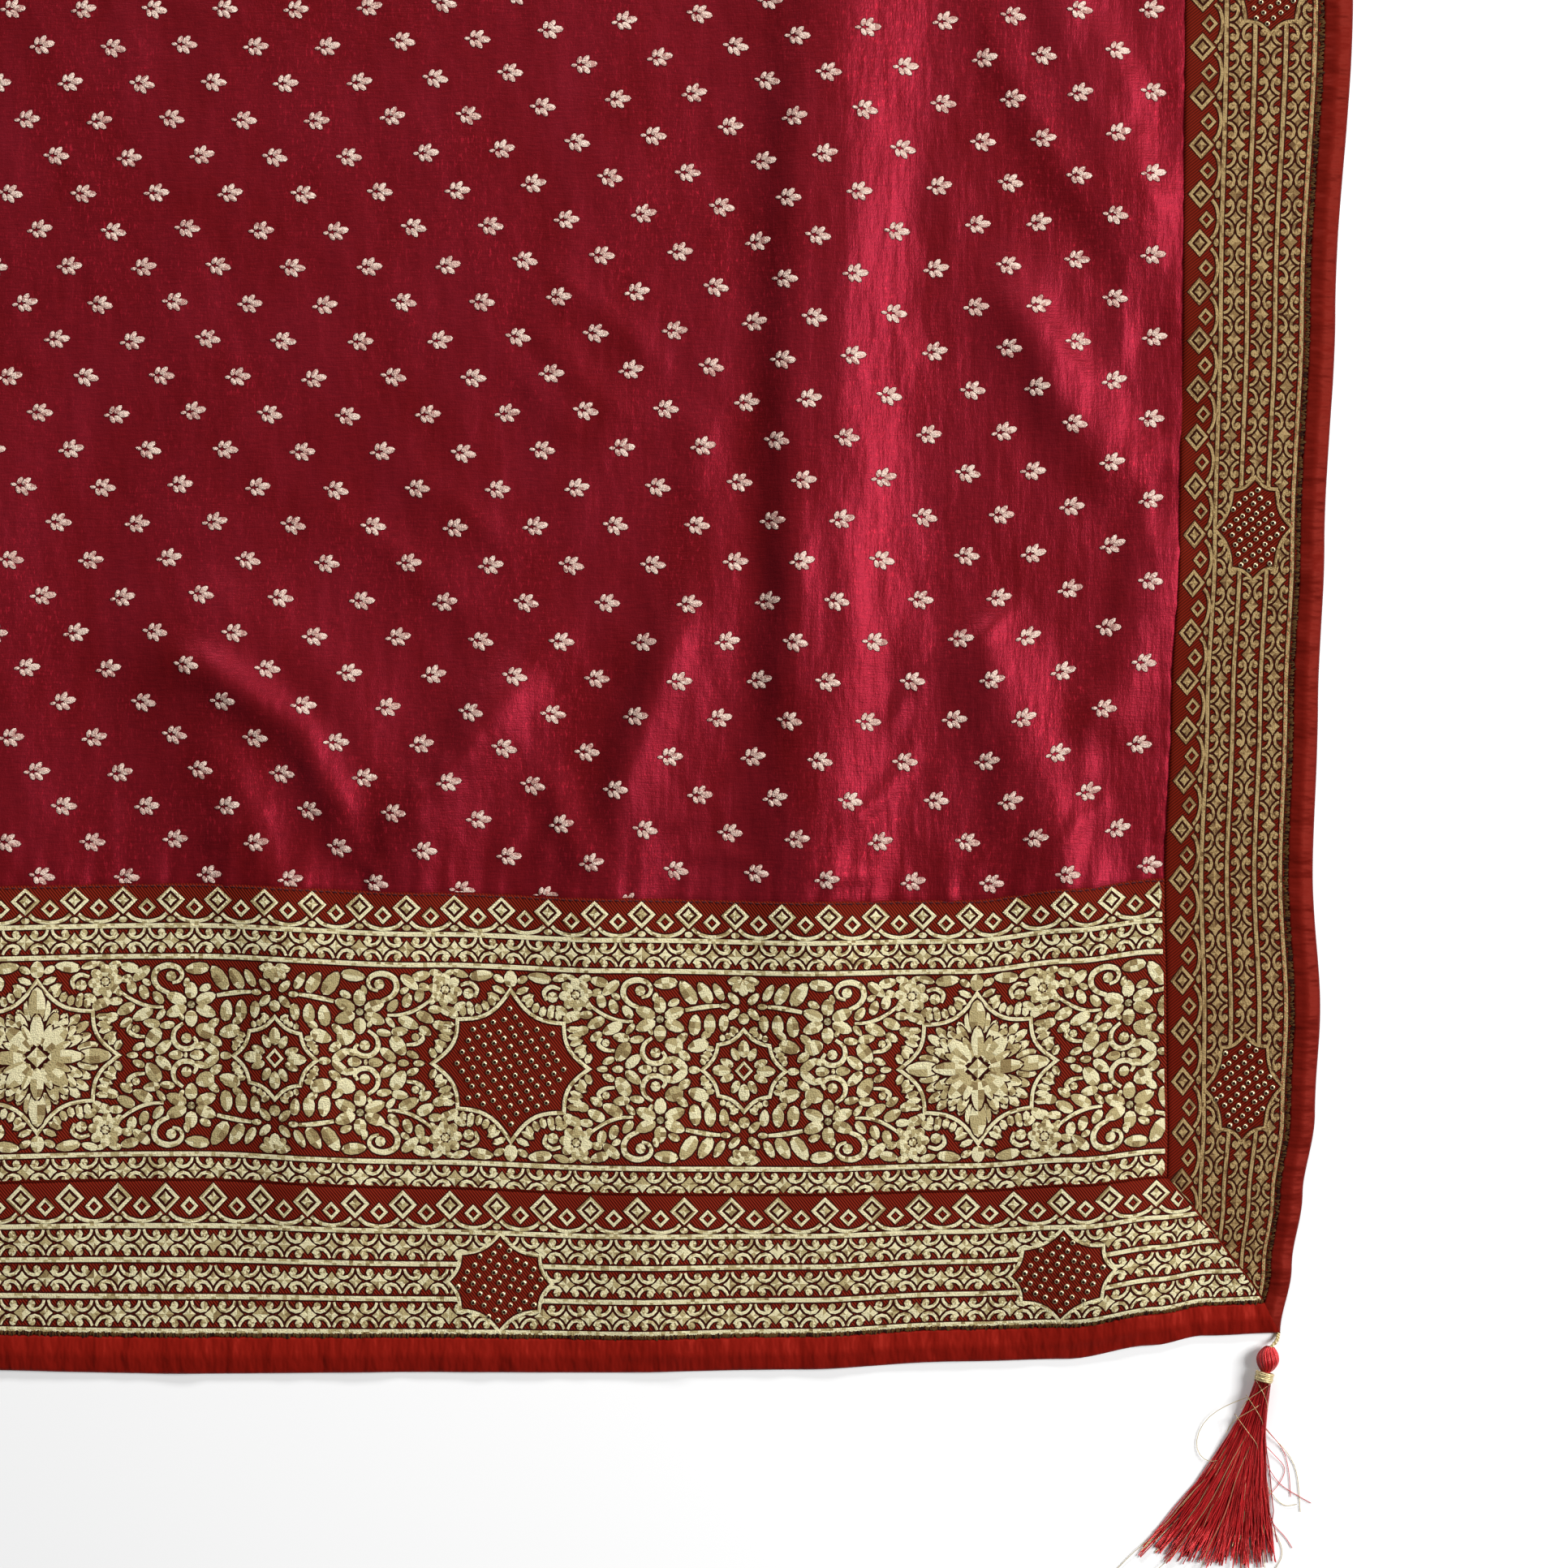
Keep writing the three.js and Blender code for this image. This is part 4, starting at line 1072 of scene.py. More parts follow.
class Beads:
    """Small metal beads sewn through their holes, each lying a little on its side."""

    def __init__(self):
        self.near, self.far = [], []

    def fill(self, outline, to_cloth, full, spacing=3.75):
        count = int(np.abs(outline).max() / spacing) + 3
        i, j = np.meshgrid(np.arange(-count, count + 1), np.arange(-count, count + 1))
        x = (i + 0.5 * (j % 2)) * spacing * 1.06
        y = j * spacing * 0.94 + 0.34 * x
        x, y = x + rng.normal(0, 0.26, x.shape), y + rng.normal(0, 0.26, y.shape)
        keep = within(outline, x, y)
        (self.near if full else self.far).append(to_cloth(x[keep], y[keep]))

    @staticmethod
    def shape(sides, hole):
        """Rings of a bead with a hole in its top, as radius and height, joined up from the outside."""
        rings = [(0.92, 0.0), (1.0, 0.4), (0.82, 0.85), (0.56, 0.88)] if hole else [(1.0, 0.0), (0.7, 0.8)]
        turn = np.linspace(0, 2 * np.pi, sides, endpoint=False)
        points = [np.stack([r * np.cos(turn), r * np.sin(turn), np.full(sides, z)], 1) for r, z in rings]
        points.append(np.array([[0, 0, 0.4 if hole else 0.95]]))
        k = np.arange(sides)
        after = (k + 1) % sides
        wall = np.stack([k, after, after + sides, k + sides], 1)
        faces = [wall + level * sides for level in range(len(rings) - 1)]
        last = (len(rings) - 1) * sides
        middle = np.full(sides, len(rings) * sides)
        faces.append(np.stack([k + last, after + last, middle, middle], 1))
        kinds = np.zeros(sides * len(rings), int)
        # the faces that dip into the hole take the second material, a painted shade
        kinds[-sides:] = 1 if hole else 0
        return np.vstack(points), np.vstack(faces), kinds

    def build(self):
        for name, places, sides, hole in (("beads", self.near, 9, True), ("beads_far", self.far, 4, False)):
            u, v = np.vstack(places).T
            x, y = lay_out(u, v)
            unit, faces, kinds = self.shape(sides, hole)
            tilt = np.array([(-0.36, -0.34)]) + rng.normal(0, 0.14, (len(u), 2))
            local = np.repeat(unit[None], len(u), 0)
            local[:, :, 0] += unit[:, 2] * tilt[:, :1]
            local[:, :, 1] += unit[:, 2] * tilt[:, 1:]
            local[:, :, 2] += (local[:, :, 0] * -tilt[:, :1] - local[:, :, 1] * tilt[:, 1:]) * 0.45
            points = local + np.stack([x, y, height(u, v) + 0.05], 1)[:, None, :]
            piece = make_piece(
                name, points.reshape(-1, 3), copied(faces, len(x), len(unit)), [BEAD, BEAD_HOLE],
                np.tile(kinds, len(x)),
            )


ACROSS, EDGE_START = 0.83, 1.2  # the edge lace is the same cloth, drawn narrower
EDGE_SEAM = FIELD_U - EDGE_START
ON_PALLU = Way(True, BAND_V, -1.0, ((-1, 0), (0, 1)))
ON_BAND = Way(True, FIELD_V, -1.0, ((-1, 0), (0, 1)))
ON_RIGHT = Way(False, EDGE_SEAM, -ACROSS, ((0, 1), (ACROSS, 0)))
ON_LEFT = Way(False, SAREE_WIDTH - EDGE_SEAM, ACROSS, ((0, -1), (-ACROSS, 0)))


def lace_clip(u, v):
    """Keeps the pallu lace between its mitres."""
    low = mitre_u(v) + 0.6
    return np.clip(u, low, SAREE_WIDTH - low), v


def edge_clip(u, v):
    """Keeps an edge lace above its mitre."""
    return u, np.clip(v, mitre_v(from_edge(u)) + 0.6, HEM_V)


PALLU_MEDALLIONS = 98 + 218.0 * np.arange(5)
EDGE_MEDALLIONS = 101 + 214.5 * np.arange(26)

# The brocade band, as distances from its inner seam
BAND_DIAMOND_T, BAND_LINES, BAND_LATTICE = 6.0, (15.9, 27.6, 102.8), (21.6, 108.8)
JAAL_T = 65.2
JAAL_HALF = 90.5  # from a small medallion to the next large one
FIRST_SMALL_U = 221.5 - 2 * JAAL_HALF


TOOTH_GAP, TOOTH_SKIP = 0.9, 2.2  # how far the teeth stand off the outline, and from its points
UPRIGHT = 0.72  # a tooth is upright where the way out has more than this along y


def outline_teeth(chart, outline, sizes, spacing):
    """Small leaves that stand on the outside of an outline. sizes are length and width for a leaf that points
    along y and for one that points along x."""
    closed = np.vstack([outline, outline[:1]])
    steps = np.linalg.norm(np.diff(closed, axis=0), axis=1)
    along = np.concatenate([[0], np.cumsum(steps)])
    corners = np.linspace(0, len(outline), 9)[:-1].astype(int)
    for a, b in zip(corners, np.append(corners[1:], len(outline))):
        start, end = along[a] + TOOTH_SKIP, along[b] - TOOTH_SKIP
        count = max(1, round((end - start) / spacing))
        for k in range(count + 1):
            at = mix(start, end, k / count)
            i = min(len(steps) - 1, int(np.searchsorted(along, at)) - 1)
            p = mix(closed[i], closed[i + 1], (at - along[i]) / steps[i])
            d = (closed[i + 1] - closed[i]) / steps[i]
            out = np.array([d[1], -d[0]])
            upright = abs(out[1]) > UPRIGHT
            length, width = sizes[0] if upright else sizes[1]
            lean = out + (0, 0.35 * np.sign(out[1])) if upright else out + (0.45 * np.sign(out[0]), 0)
            angle = math.degrees(math.atan2(lean[1], lean[0]))
            chart.polar_leaf(angle, 0, length, width, p + out * TOOTH_GAP, steps=4, blunt=True)


SMALL_OUTLINE = medallion_outline(16.2, 15.7, 10.0, 9.8, 0.12)
LARGE_OUTLINE = medallion_outline(30.4, 29.0, 20.6, 17.0, 0.16, 9)


def turned(x, y):
    """The angle at which (x, y) is seen from the middle, in degrees."""
    return math.degrees(math.atan2(y, x))


def small_medallion():
    chart = Chart()
    chart.ribbon(SMALL_OUTLINE, 1.35, closed=True)
    outline_teeth(chart, SMALL_OUTLINE, ((2.7, 2.3), (3.8, 2.4)), 3.0)
    chart.diamond_ring(0, 0, 3.5, 3.8, 1.0)
    sprays = ((0, 6.4, 4.4), (38, 6.0, 3.6), (-38, 6.0, 3.6), (74, 5.6, 3.2), (-74, 5.6, 3.2))
    for sy in (1, -1):
        chart.leaf(0, 8.4 * sy, 90, 6.8, 4.4)
        chart.dot(0, 19.9 * sy, 2.2)
        for turn, length, width in sprays:
            chart.polar_leaf(sy * (270 + turn), 0.5, length, width, (0, 35.4 * sy), blunt=True)
        for sx in (1, -1):
            for a, length in ((62, 5.4), (24, 5.6)):
                angle = turned(sx * math.cos(math.radians(a)), sy * math.sin(math.radians(a)))
                chart.polar_leaf(angle, 4.4, length, 3.1)
    for sx in (1, -1):
        chart.leaf(8.6 * sx, 0, 0, 7.4, 4.4)
        chart.leaf(19.2 * sx, 0, 0, 4.6, 3.0)
    return chart


def large_frame():
    chart = Chart()
    chart.ribbon(LARGE_OUTLINE, 1.4, closed=True)
    outline_teeth(chart, LARGE_OUTLINE, ((4.3, 2.9), (5.6, 2.7)), 3.45)
    for sy in (1, -1):
        chart.leaf(0, 33.2 * sy, 90 * sy, 6.6, 5.2)
        for sx in (1, -1):
            x, y = 22.9 * sx, 19.6 * sy
            chart.leaf(x, y, turned(x, y), 6.0, 3.8)
    return chart


def lotus():
    """The flower that fills every other large medallion: three rows of petals, the inner ones on top."""
    chart = Chart()

    def four(angle, inner, length, width):
        x, y = math.cos(math.radians(angle)), math.sin(math.radians(angle))
        for sx, sy in ((1, 1), (1, -1), (-1, 1), (-1, -1)):
            chart.polar_leaf(turned(sx * x, sy * y), inner, length, width, blunt=length < 9)

    def pairs(level_size, upright_size):
        for axis, size in ((0, level_size), (180, level_size), (90, upright_size), (270, upright_size)):
            chart.polar_leaf(axis, *size)

    for a in (11, 22.5, 34, 45, 56, 68, 79.5):
        tip = float(outline_radius(LARGE_OUTLINE, math.radians(a))) - 2.0
        four(a, tip - 8.0, 8.0, 3.5)
    chart.base = 0.25
    pairs((15.0, 12.8, 6.0), (13.6, 13.0, 6.6))
    for a in (24, 38, 52, 66):
        four(a, 9.6, 8.8, 3.9)
    chart.base = 0.5
    pairs((4.0, 13.6, 5.4), (4.0, 12.4, 5.2))
    four(45, 3.6, 12.4, 6.4)
    four(24, 4.4, 9.4, 3.3)
    four(66, 4.4, 9.0, 3.2)
    chart.star(0, 0, 3.9, 0.49)
    return chart


# One quarter of the trailing pattern between a small medallion at 0, 0 and a large one at 90.5, 0.
# Leaves: x, y, angle, length, width.
JAAL_LEAVES = (
    (3.9, 27.6, 45, 5.8, 3.1), (3.9, 21.6, -45, 5.8, 3.1), (7.3, 24.7, 0, 4.0, 2.3),
    (9.7, 30.0, 60, 7.4, 3.4), (15.0, 29.6, 58, 9.2, 4.8), (21.6, 29.6, 56, 10.6, 5.4),
    (7.8, 18.0, -84, 6.6, 3.8), (13.2, 17.7, 90, 7.8, 4.6), (19.0, 17.2, 96, 8.2, 4.8),
    (30.2, 33.0, -6, 9.4, 4.6), (17.7, 9.3, -18, 8.4, 5.2), (27.2, 9.3, 20, 7.4, 6.0),
    (24.0, 12.2, 139, 5.4, 3.2), (23.0, 5.4, 217, 5.4, 3.4), (41.6, 11.4, -8, 5.8, 3.0),
    (47.6, 12.1, 8, 6.6, 3.6), (47.0, 6.6, -55, 8.6, 5.5), (45.1, 21.9, 52, 5.8, 3.5),
    (50.6, 24.0, 70, 5.8, 3.7), (55.3, 26.1, 76, 5.8, 3.7), (44.1, 15.4, -51, 5.0, 2.5),
    (51.0, 15.5, -26, 8.6, 4.4), (57.4, 17.6, -28, 7.4, 4.2), (61.4, 20.6, -4, 5.6, 3.2),
    (51.6, 31.0, -40, 8.4, 4.0), (56.0, 33.4, 14, 7.2, 3.9), (60.4, 24.4, 60, 4.2, 2.6),
    (66.0, 20.0, -24, 6.4, 3.8), (63.4, 14.4, -14, 6.4, 3.8), (57.4, 12.4, -34, 5.4, 3.2),
    (71.0, 34.4, -16, 6.6, 3.0), (79.2, 34.0, 8, 9.4, 4.2), (70.8, 22.0, 34, 5.2, 3.2),
    (34.2, 27.6, 100, 3.8, 2.4), (27.2, 25.6, -24, 4.8, 2.9), (86.0, 33.0, -30, 4.6, 2.8),
    (29.4, 3.6, -14, 5.0, 2.7), (61.6, 34.6, -10, 5.0, 2.8), (26.0, 20.6, 0, 2.6, 1.6),
    (14.6, 13.6, -34, 4.6, 3.0), (4.8, 33.8, 30, 3.0, 1.9), (49.6, 27.8, 30, 3.8, 2.4),
    (57.2, 29.2, -20, 4.4, 3.0), (52.6, 3.2, -24, 5.0, 2.8), (36.2, 14.6, 60, 3.0, 1.8),
    (74.8, 22.2, -60, 3.8, 2.4), (34.6, 0.0, 90, 2.2, 1.4), (67.0, 34.8, 20, 3.8, 2.2),
)
# Curls: widths, then points, with a bud of the given radius at the last place.
JAAL_CURLS = (
    ((1.5, 2.1, 2.2, 1.5, 1.1), (
        (41.0, 23.6), (44.6, 25.4), (46.7, 28.6), (45.8, 32.3), (41.8, 34.1), (37.7, 33.3), (35.9, 30.8),
        (37.0, 28.3), (39.6, 27.5),
    ), (40.1, 30.0), 2.0),
    ((1.2, 1.9, 1.9, 1.2), (
        (35.6, 12.1), (38.7, 9.5), (39.2, 5.7), (36.6, 2.7), (32.7, 2.6), (30.5, 4.7), (31.6, 6.9),
    ), (34.3, 6.4), 2.0),
    ((1.1, 1.7, 1.2), ((50.2, 7.0), (53.8, 7.4), (56.5, 9.4), (55.3, 11.9)), (53.6, 10.0), 1.5),
    ((1.2, 1.8, 1.2), ((71.2, 30.0), (74.6, 30.9), (77.5, 28.7), (76.6, 25.6)), (74.2, 26.9), 2.1),
)
# Stems: widths, then points.
JAAL_STEMS = (
    ((1.2, 1.8, 1.4), ((9.4, 24.7), (13.3, 24.4), (17.9, 23.7), (22.6, 22.8))),
    ((1.0, 1.4, 1.1), ((43.0, 18.2), (47.5, 18.4), (52.0, 19.6), (56.2, 21.8), (59.8, 24.4))),
)


def jaal_quarter():
    chart = Chart()
    for leaf in JAAL_LEAVES:
        chart.leaf(*leaf)
    for widths, points, bud, radius in JAAL_CURLS:
        chart.curve(points, widths)
        chart.dot(*bud, radius)
    for widths, points in JAAL_STEMS:
        chart.curve(points, widths)
    chart.flower(32.5, 19.2, (23, -23, -157, 157), 2.0, 10.2, 4.7, 1.45)
    chart.flower(32.5, 19.2, (90, -90), 2.2, 8.6, 4.8, 1.45)
    chart.flower(65.2, 28.2, (90, 40, -8, -52, -98, -142, 172, 130), 1.7, 6.6, 3.9, 1.5, blunt=True)
    return chart


def jaal_axis():
    """What lies on the middle line between the medallions."""
    chart = Chart()
    for leaf in (
        (25.2, 2.5, 38, 8.2, 3.6), (25.2, -2.5, -38, 8.2, 3.6), (30.4, 0, 0, 5.4, 3.8),
        (38.4, 0, 0, 5.6, 3.6), (43.0, 3.1, 140, 7.6, 4.0), (43.0, -3.1, -140, 7.6, 4.0),
        (49.0, 0, 0, 4.4, 2.8), (55.0, 0, 0, 4.4, 2.4),
    ):
        chart.leaf(*leaf)
    return chart


def band_gold():
    """The brocade band. Gives the places of the large medallions that hold beads instead of a lotus."""
    gold = Gold("band_gold", [*PALE_ZARI, SHADOW], "zari_brocade")
    smalls = FIRST_SMALL_U + 2 * JAAL_HALF * np.arange(7)
    larges = smalls + JAAL_HALF
    beaded = np.arange(len(larges)) % 2 == 1
    quarter, axis = jaal_quarter(), jaal_axis()
    for flip_x in (False, True):
        gold.place(flipped(axis, flip_x, False), ON_BAND(smalls, JAAL_T))
        for flip_y in (False, True):
            gold.place(flipped(quarter, flip_x, flip_y), ON_BAND(smalls, JAAL_T))
    gold.place(small_medallion(), ON_BAND(smalls, JAAL_T))
    gold.place(large_frame(), ON_BAND(larges, JAAL_T))
    gold.place(lotus(), ON_BAND(larges[~beaded], JAAL_T))
    s = LACE_PITCH * np.arange(2, SAREE_WIDTH / LACE_PITCH) + 6
    lace_rows(gold, s, LACE_PITCH, ON_BAND, True, BAND_DIAMOND_T, BAND_LATTICE, False)
    at = np.arange(FIELD_U, SAREE_WIDTH - FIELD_U, LINE_STEP)
    for t in BAND_LINES:
        gold.place(line_segment(LINE_STEP), ON_BAND(at, t), ON_BAND.axes)

    def clip(u, v):
        return np.clip(u, FIELD_U + 1.0, SAREE_WIDTH - FIELD_U - 1.0), np.clip(v, BAND_V + 1.0, FIELD_V - 1.0)

    gold.build(clip)
    return ON_BAND(larges[beaded & (larges < SAREE_WIDTH - FIELD_U)], JAAL_T)


# A small woven flower's petals and stem: x, y, angle, length, width.
BUTTA = (
    (2.8, 0, 0, 4.8, 2.7), (0.85, 1.9, 46, 4.1, 2.1), (-1.5, 1.85, 64, 3.1, 1.8),
    (0.75, -1.95, -46, 4.1, 2.1), (-1.6, -1.8, -64, 3.1, 1.8), (-3.6, 0, 0, 2.3, 1.25),
)


def butta_chart():
    chart = Chart()
    chart.LINE = 0.2
    for leaf in BUTTA:
        chart.leaf(*leaf, steps=5, blunt=True, rise=0.4)
    return chart


def far_butta_chart():
    """The same flower as five lozenges."""
    chart = Chart(False)
    for x, y, angle, length, width in BUTTA[:5]:
        a = math.radians(angle)
        along = np.array([math.cos(a), math.sin(a)]) * length / 2
        across = np.array([-math.sin(a), math.cos(a)]) * width / 2
        rim = np.array([-along, -across, along, across]) + (x, y)
        chart.add(np.hstack([rim, column(4, 0.4)]), [(0, 1, 2, 3)], WOVEN)
    return chart


# The rows of flowers: the first one's v, and the steps between the first six and between the rest.
FIRST_ROW_V, CLOSE_ROWS, ROW_STEP, LATER_STEP = FIELD_V + 16.5, 6, 13.35, 14.2
FIRST_COLUMN_U, COLUMN_STEP = 84.5, 31.5
TURNS = (-9, -3, 4, 10)  # degrees by which the flowers are turned, one after the other
PLAIN_V = 2800.0  # the far flowers are two pieces, on either side of this v
# How far the folds draw the flowers sideways: u, and the shift there.
FOLDED_IN = (
    (84, 0), (113, 0.5), (140, -4.7), (172, -2), (200, -0.5), (228, -6.5), (256, -5), (290, -3.5),
    (335, -2.5), (385, 0),
)


def butta_places():
    """Half-drop rows that fan a little across the cloth near the pallu end."""
    i, j = np.meshgrid(np.arange(-3, 40), np.arange(-1, 385))
    low, high = np.clip(j, -1, CLOSE_ROWS), np.clip(j - CLOSE_ROWS, 0, None)
    v = FIRST_ROW_V + ROW_STEP * low + LATER_STEP * high
    drawn = 1 - smooth((j - 24) / 70.0)
    # the columns draw together away from the pallu end, and ease again further off
    far = smooth((v - 560) / 900)
    step = COLUMN_STEP - 0.0139 * np.minimum(v - 195, 330) * (1 - far) - 1.3 * far
    u = FIRST_COLUMN_U + step * (i + 0.5 * (j % 2)) + 11 * (1 - smooth((v - 192) / 62))
    # the rows fan out towards the right-hand edge, and the folds draw the flowers sideways in places
    v = v + (2.35 * low + 1.7 * np.minimum(high, 18) - 11.5) * drawn * smooth((400 - u) / 330)
    u = u + drawn * np.interp(u, *np.array(FOLDED_IN).T)
    u = u + 0.6 * waves(v, (83, 1, 0.2), (37, 0.7, 1.0))
    v = v + 0.7 * waves(u, (71, 1, 1.2), (43, 0.7, 0.1))
    u, v = u.ravel(), v.ravel()
    return np.stack([u, v], 1)[(v > FIELD_V - 2.5) & (from_edge(u) > FIELD_U + 1) & (v < HEM_V - 5)]


def buttas():
    """The small woven flowers of the ground."""
    places = butta_places()
    framed = (places[:, 0] < FRAMED_U) & (places[:, 1] < FRAMED_V)
    turns = np.radians(TURNS)[(np.arange(len(places)) * 7 + 3) % len(TURNS)]

    def clip(u, v):
        return np.clip(u, FIELD_U + 0.3, SAREE_WIDTH - FIELD_U - 0.3), np.maximum(v, FIELD_V + 0.3)

    for name, full, part in (
        ("buttas", True, framed),
        ("buttas_mid", False, ~framed & (places[:, 1] < PLAIN_V)),
        ("buttas_far", False, ~framed & (places[:, 1] >= PLAIN_V)),
    ):
        gold = Gold(name, [*BUTTA_ZARI, BUTTA_SHADOW], "silk_ground")
        chart = butta_chart() if full else far_butta_chart()
        for turn in np.unique(turns):
            c, s = math.cos(turn), math.sin(turn)
            gold.place(chart, places[part & (turns == turn)], ((-c, s), (s, c)))
        gold.build(clip)


# ---------------------------------------------------------------- threads

def tubes(name, paths, radii, materials, kinds, sides=3, node=None):
    """Threads as joined meshes. paths are n, steps, 3 in millimetres, radii n, steps or a number, and kinds
    one a thread. node is the solid that they replace, if any."""
    paths = np.asarray(paths, float)
    count, steps, _ = paths.shape
    radii = np.broadcast_to(radii, (count, steps))
    along = np.gradient(paths, axis=1)
    along /= np.linalg.norm(along, axis=2, keepdims=True) + 1e-9
    side = np.cross(along, (0, 0, 1.0))
    length = np.linalg.norm(side, axis=2, keepdims=True)
    side = np.where(length > 0.05, side / np.maximum(length, 1e-9), (1.0, 0, 0))
    up = np.cross(side, along)
    turn = np.linspace(0, 2 * np.pi, sides, endpoint=False) + np.pi / 2
    rings = paths[:, :, None] + radii[:, :, None, None] * (
        side[:, :, None] * np.cos(turn)[:, None] + up[:, :, None] * np.sin(turn)[:, None]
    )
    rings[..., 2] = np.maximum(rings[..., 2], 0.05)
    k = np.arange(sides)
    after = (k + 1) % sides
    rows = [np.stack([k, k + sides, after + sides, after], 1) + level * sides for level in range(steps - 1)]
    fan = np.array([(0, i, i + 1, i + 1) for i in range(1, sides - 1)])
    faces = np.vstack(rows + [fan[:, [2, 1, 0, 0]], fan + (steps - 1) * sides])
    kinds = np.repeat(kinds, len(faces))
    piece = make_piece(name, rings.reshape(-1, 3), copied(faces, count, steps * sides), materials, kinds)
    if node is not None:
        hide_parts(node)


def relaxed(route, steps, rounds):
    """A run of points along a route of straight stretches, with its corners rounded off."""
    route = np.array(route, float)
    share = np.linspace(0, 1, steps)
    run = np.stack([np.interp(share, np.linspace(0, 1, len(route)), route[:, c]) for c in range(3)], 1)
    for _ in range(rounds):
        run[1:-1] = 0.25 * run[:-2] + 0.5 * run[1:-1] + 0.25 * run[2:]
    return run


# A tassel's places are d along it from its collar, s across it towards the cloth's middle, and height, in mm.
SKIRT_LENGTH, SKIRT_ROOT = 68.0, 3.0  # how long its threads are, and the radius in which they start
SPREAD = (-0.27, 0.43)  # the angles of its outermost threads, in radians
LOCKS, CLINGING = 30, 0.4  # the threads cling together in this many locks, by this share
LOOP_ROUTE = (
    (-17.4, -2.5, 1.0), (-16.2, -2.5, 1.3), (-14.9, -2.5, 2.2), (-13.4, -1.6, 3.6), (-11.4, -0.2, 4.5),
)
# Gold threads that criss-cross below the collar
CROSSING = (
    ((2.5, -3.0, 6.0), (6, 0.5, 7.4), (11, 5.2, 5.8), (15, 6.0, 3.4)),
    ((2.5, 3.2, 6.0), (6, 0.0, 7.4), (11, -3.4, 5.6), (15, -3.6, 3.0)),
    ((9, 5.4, 4.6), (13, 1.4, 6.4), (18, -3.2, 4.6), (22, -3.4, 2.4)),
    ((9, -3.2, 4.4), (14, 2.2, 6.2), (20, 8.6, 4.2), (25, 9.6, 2.4)),
    ((17, 8.2, 4.2), (22, 2.8, 5.2), (27, -3.0, 4.0), (31, -3.8, 1.8)),
)
# Threads that have come loose: 0 for gold or 1 for crimson, then the places
LOOSE = (
    (0, ((10, 5.0, 4.6), (16, 14.0, 2.2), (24, 20.0, 0.6), (34, 20.5, 0.5), (38, 14.5, 1.6),
         (36, 11.0, 3.0))),
    (1, ((20, -4.5, 3.0), (24.3, -9.7, 1.6), (26.5, -13.0, 0.6), (31.9, -16.1, 0.5), (38.6, -18.2, 0.5),
         (44.4, -19.6, 0.5))),
    (0, ((20, -4.0, 2.4), (24.3, -9.7, 1.4), (27.9, -15.5, 0.5), (33.9, -20.2, 0.5), (41.6, -22.3, 0.5),
         (49.3, -24.4, 0.5))),
    (1, ((26, -5.0, 2.0), (31.0, -11.7, 1.2), (33.1, -15.4, 0.5), (36.1, -15.7, 0.5), (40.6, -14.6, 0.6),
         (46.0, -11.0, 1.0))),
    (1, ((30, -5.0, 2.0), (36.0, -9.7, 1.0), (40.7, -14.3, 0.5), (42.7, -20.1, 0.5), (44.0, -24.0, 0.5),
         (45.2, -27.8, 0.5))),
    (0, ((38, -7.0, 2.0), (44.0, -11.4, 1.0), (47.2, -15.5, 0.5), (48.4, -18.3, 0.5), (47.6, -20.5, 0.5),
         (46.7, -22.5, 0.5))),
    (1, ((48, -9.0, 2.0), (53.0, -12.4, 1.0), (57.1, -16.4, 0.5), (58.7, -19.4, 0.5), (61.0, -22.0, 0.5),
         (63.4, -24.1, 0.5))),
    (0, ((50, -9.0, 2.0), (55.0, -12.0, 1.0), (59.5, -17.5, 0.5), (64.7, -21.0, 0.5), (69.0, -21.0, 0.5),
         (73.6, -18.8, 0.5))),
    (0, ((24, 2.0, 4.6), (38, 7.2, 4.2), (52, 9.6, 3.6), (64, 16.0, 3.0), (76, 20.0, 2.4), (88, 30.0, 0.8))),
    (0, ((28, 0.0, 4.6), (42, 3.6, 4.2), (56, 3.0, 3.4), (70, 9.0, 3.0), (80, 8.2, 2.4), (92, 12.6, 0.8))),
    (0, ((44, 14.0, 2.6), (56, 22.0, 2.0), (66, 25.0, 1.4), (76, 35.0, 0.8), (84, 39.0, 0.5),
         (94, 47.0, 0.4))),
)


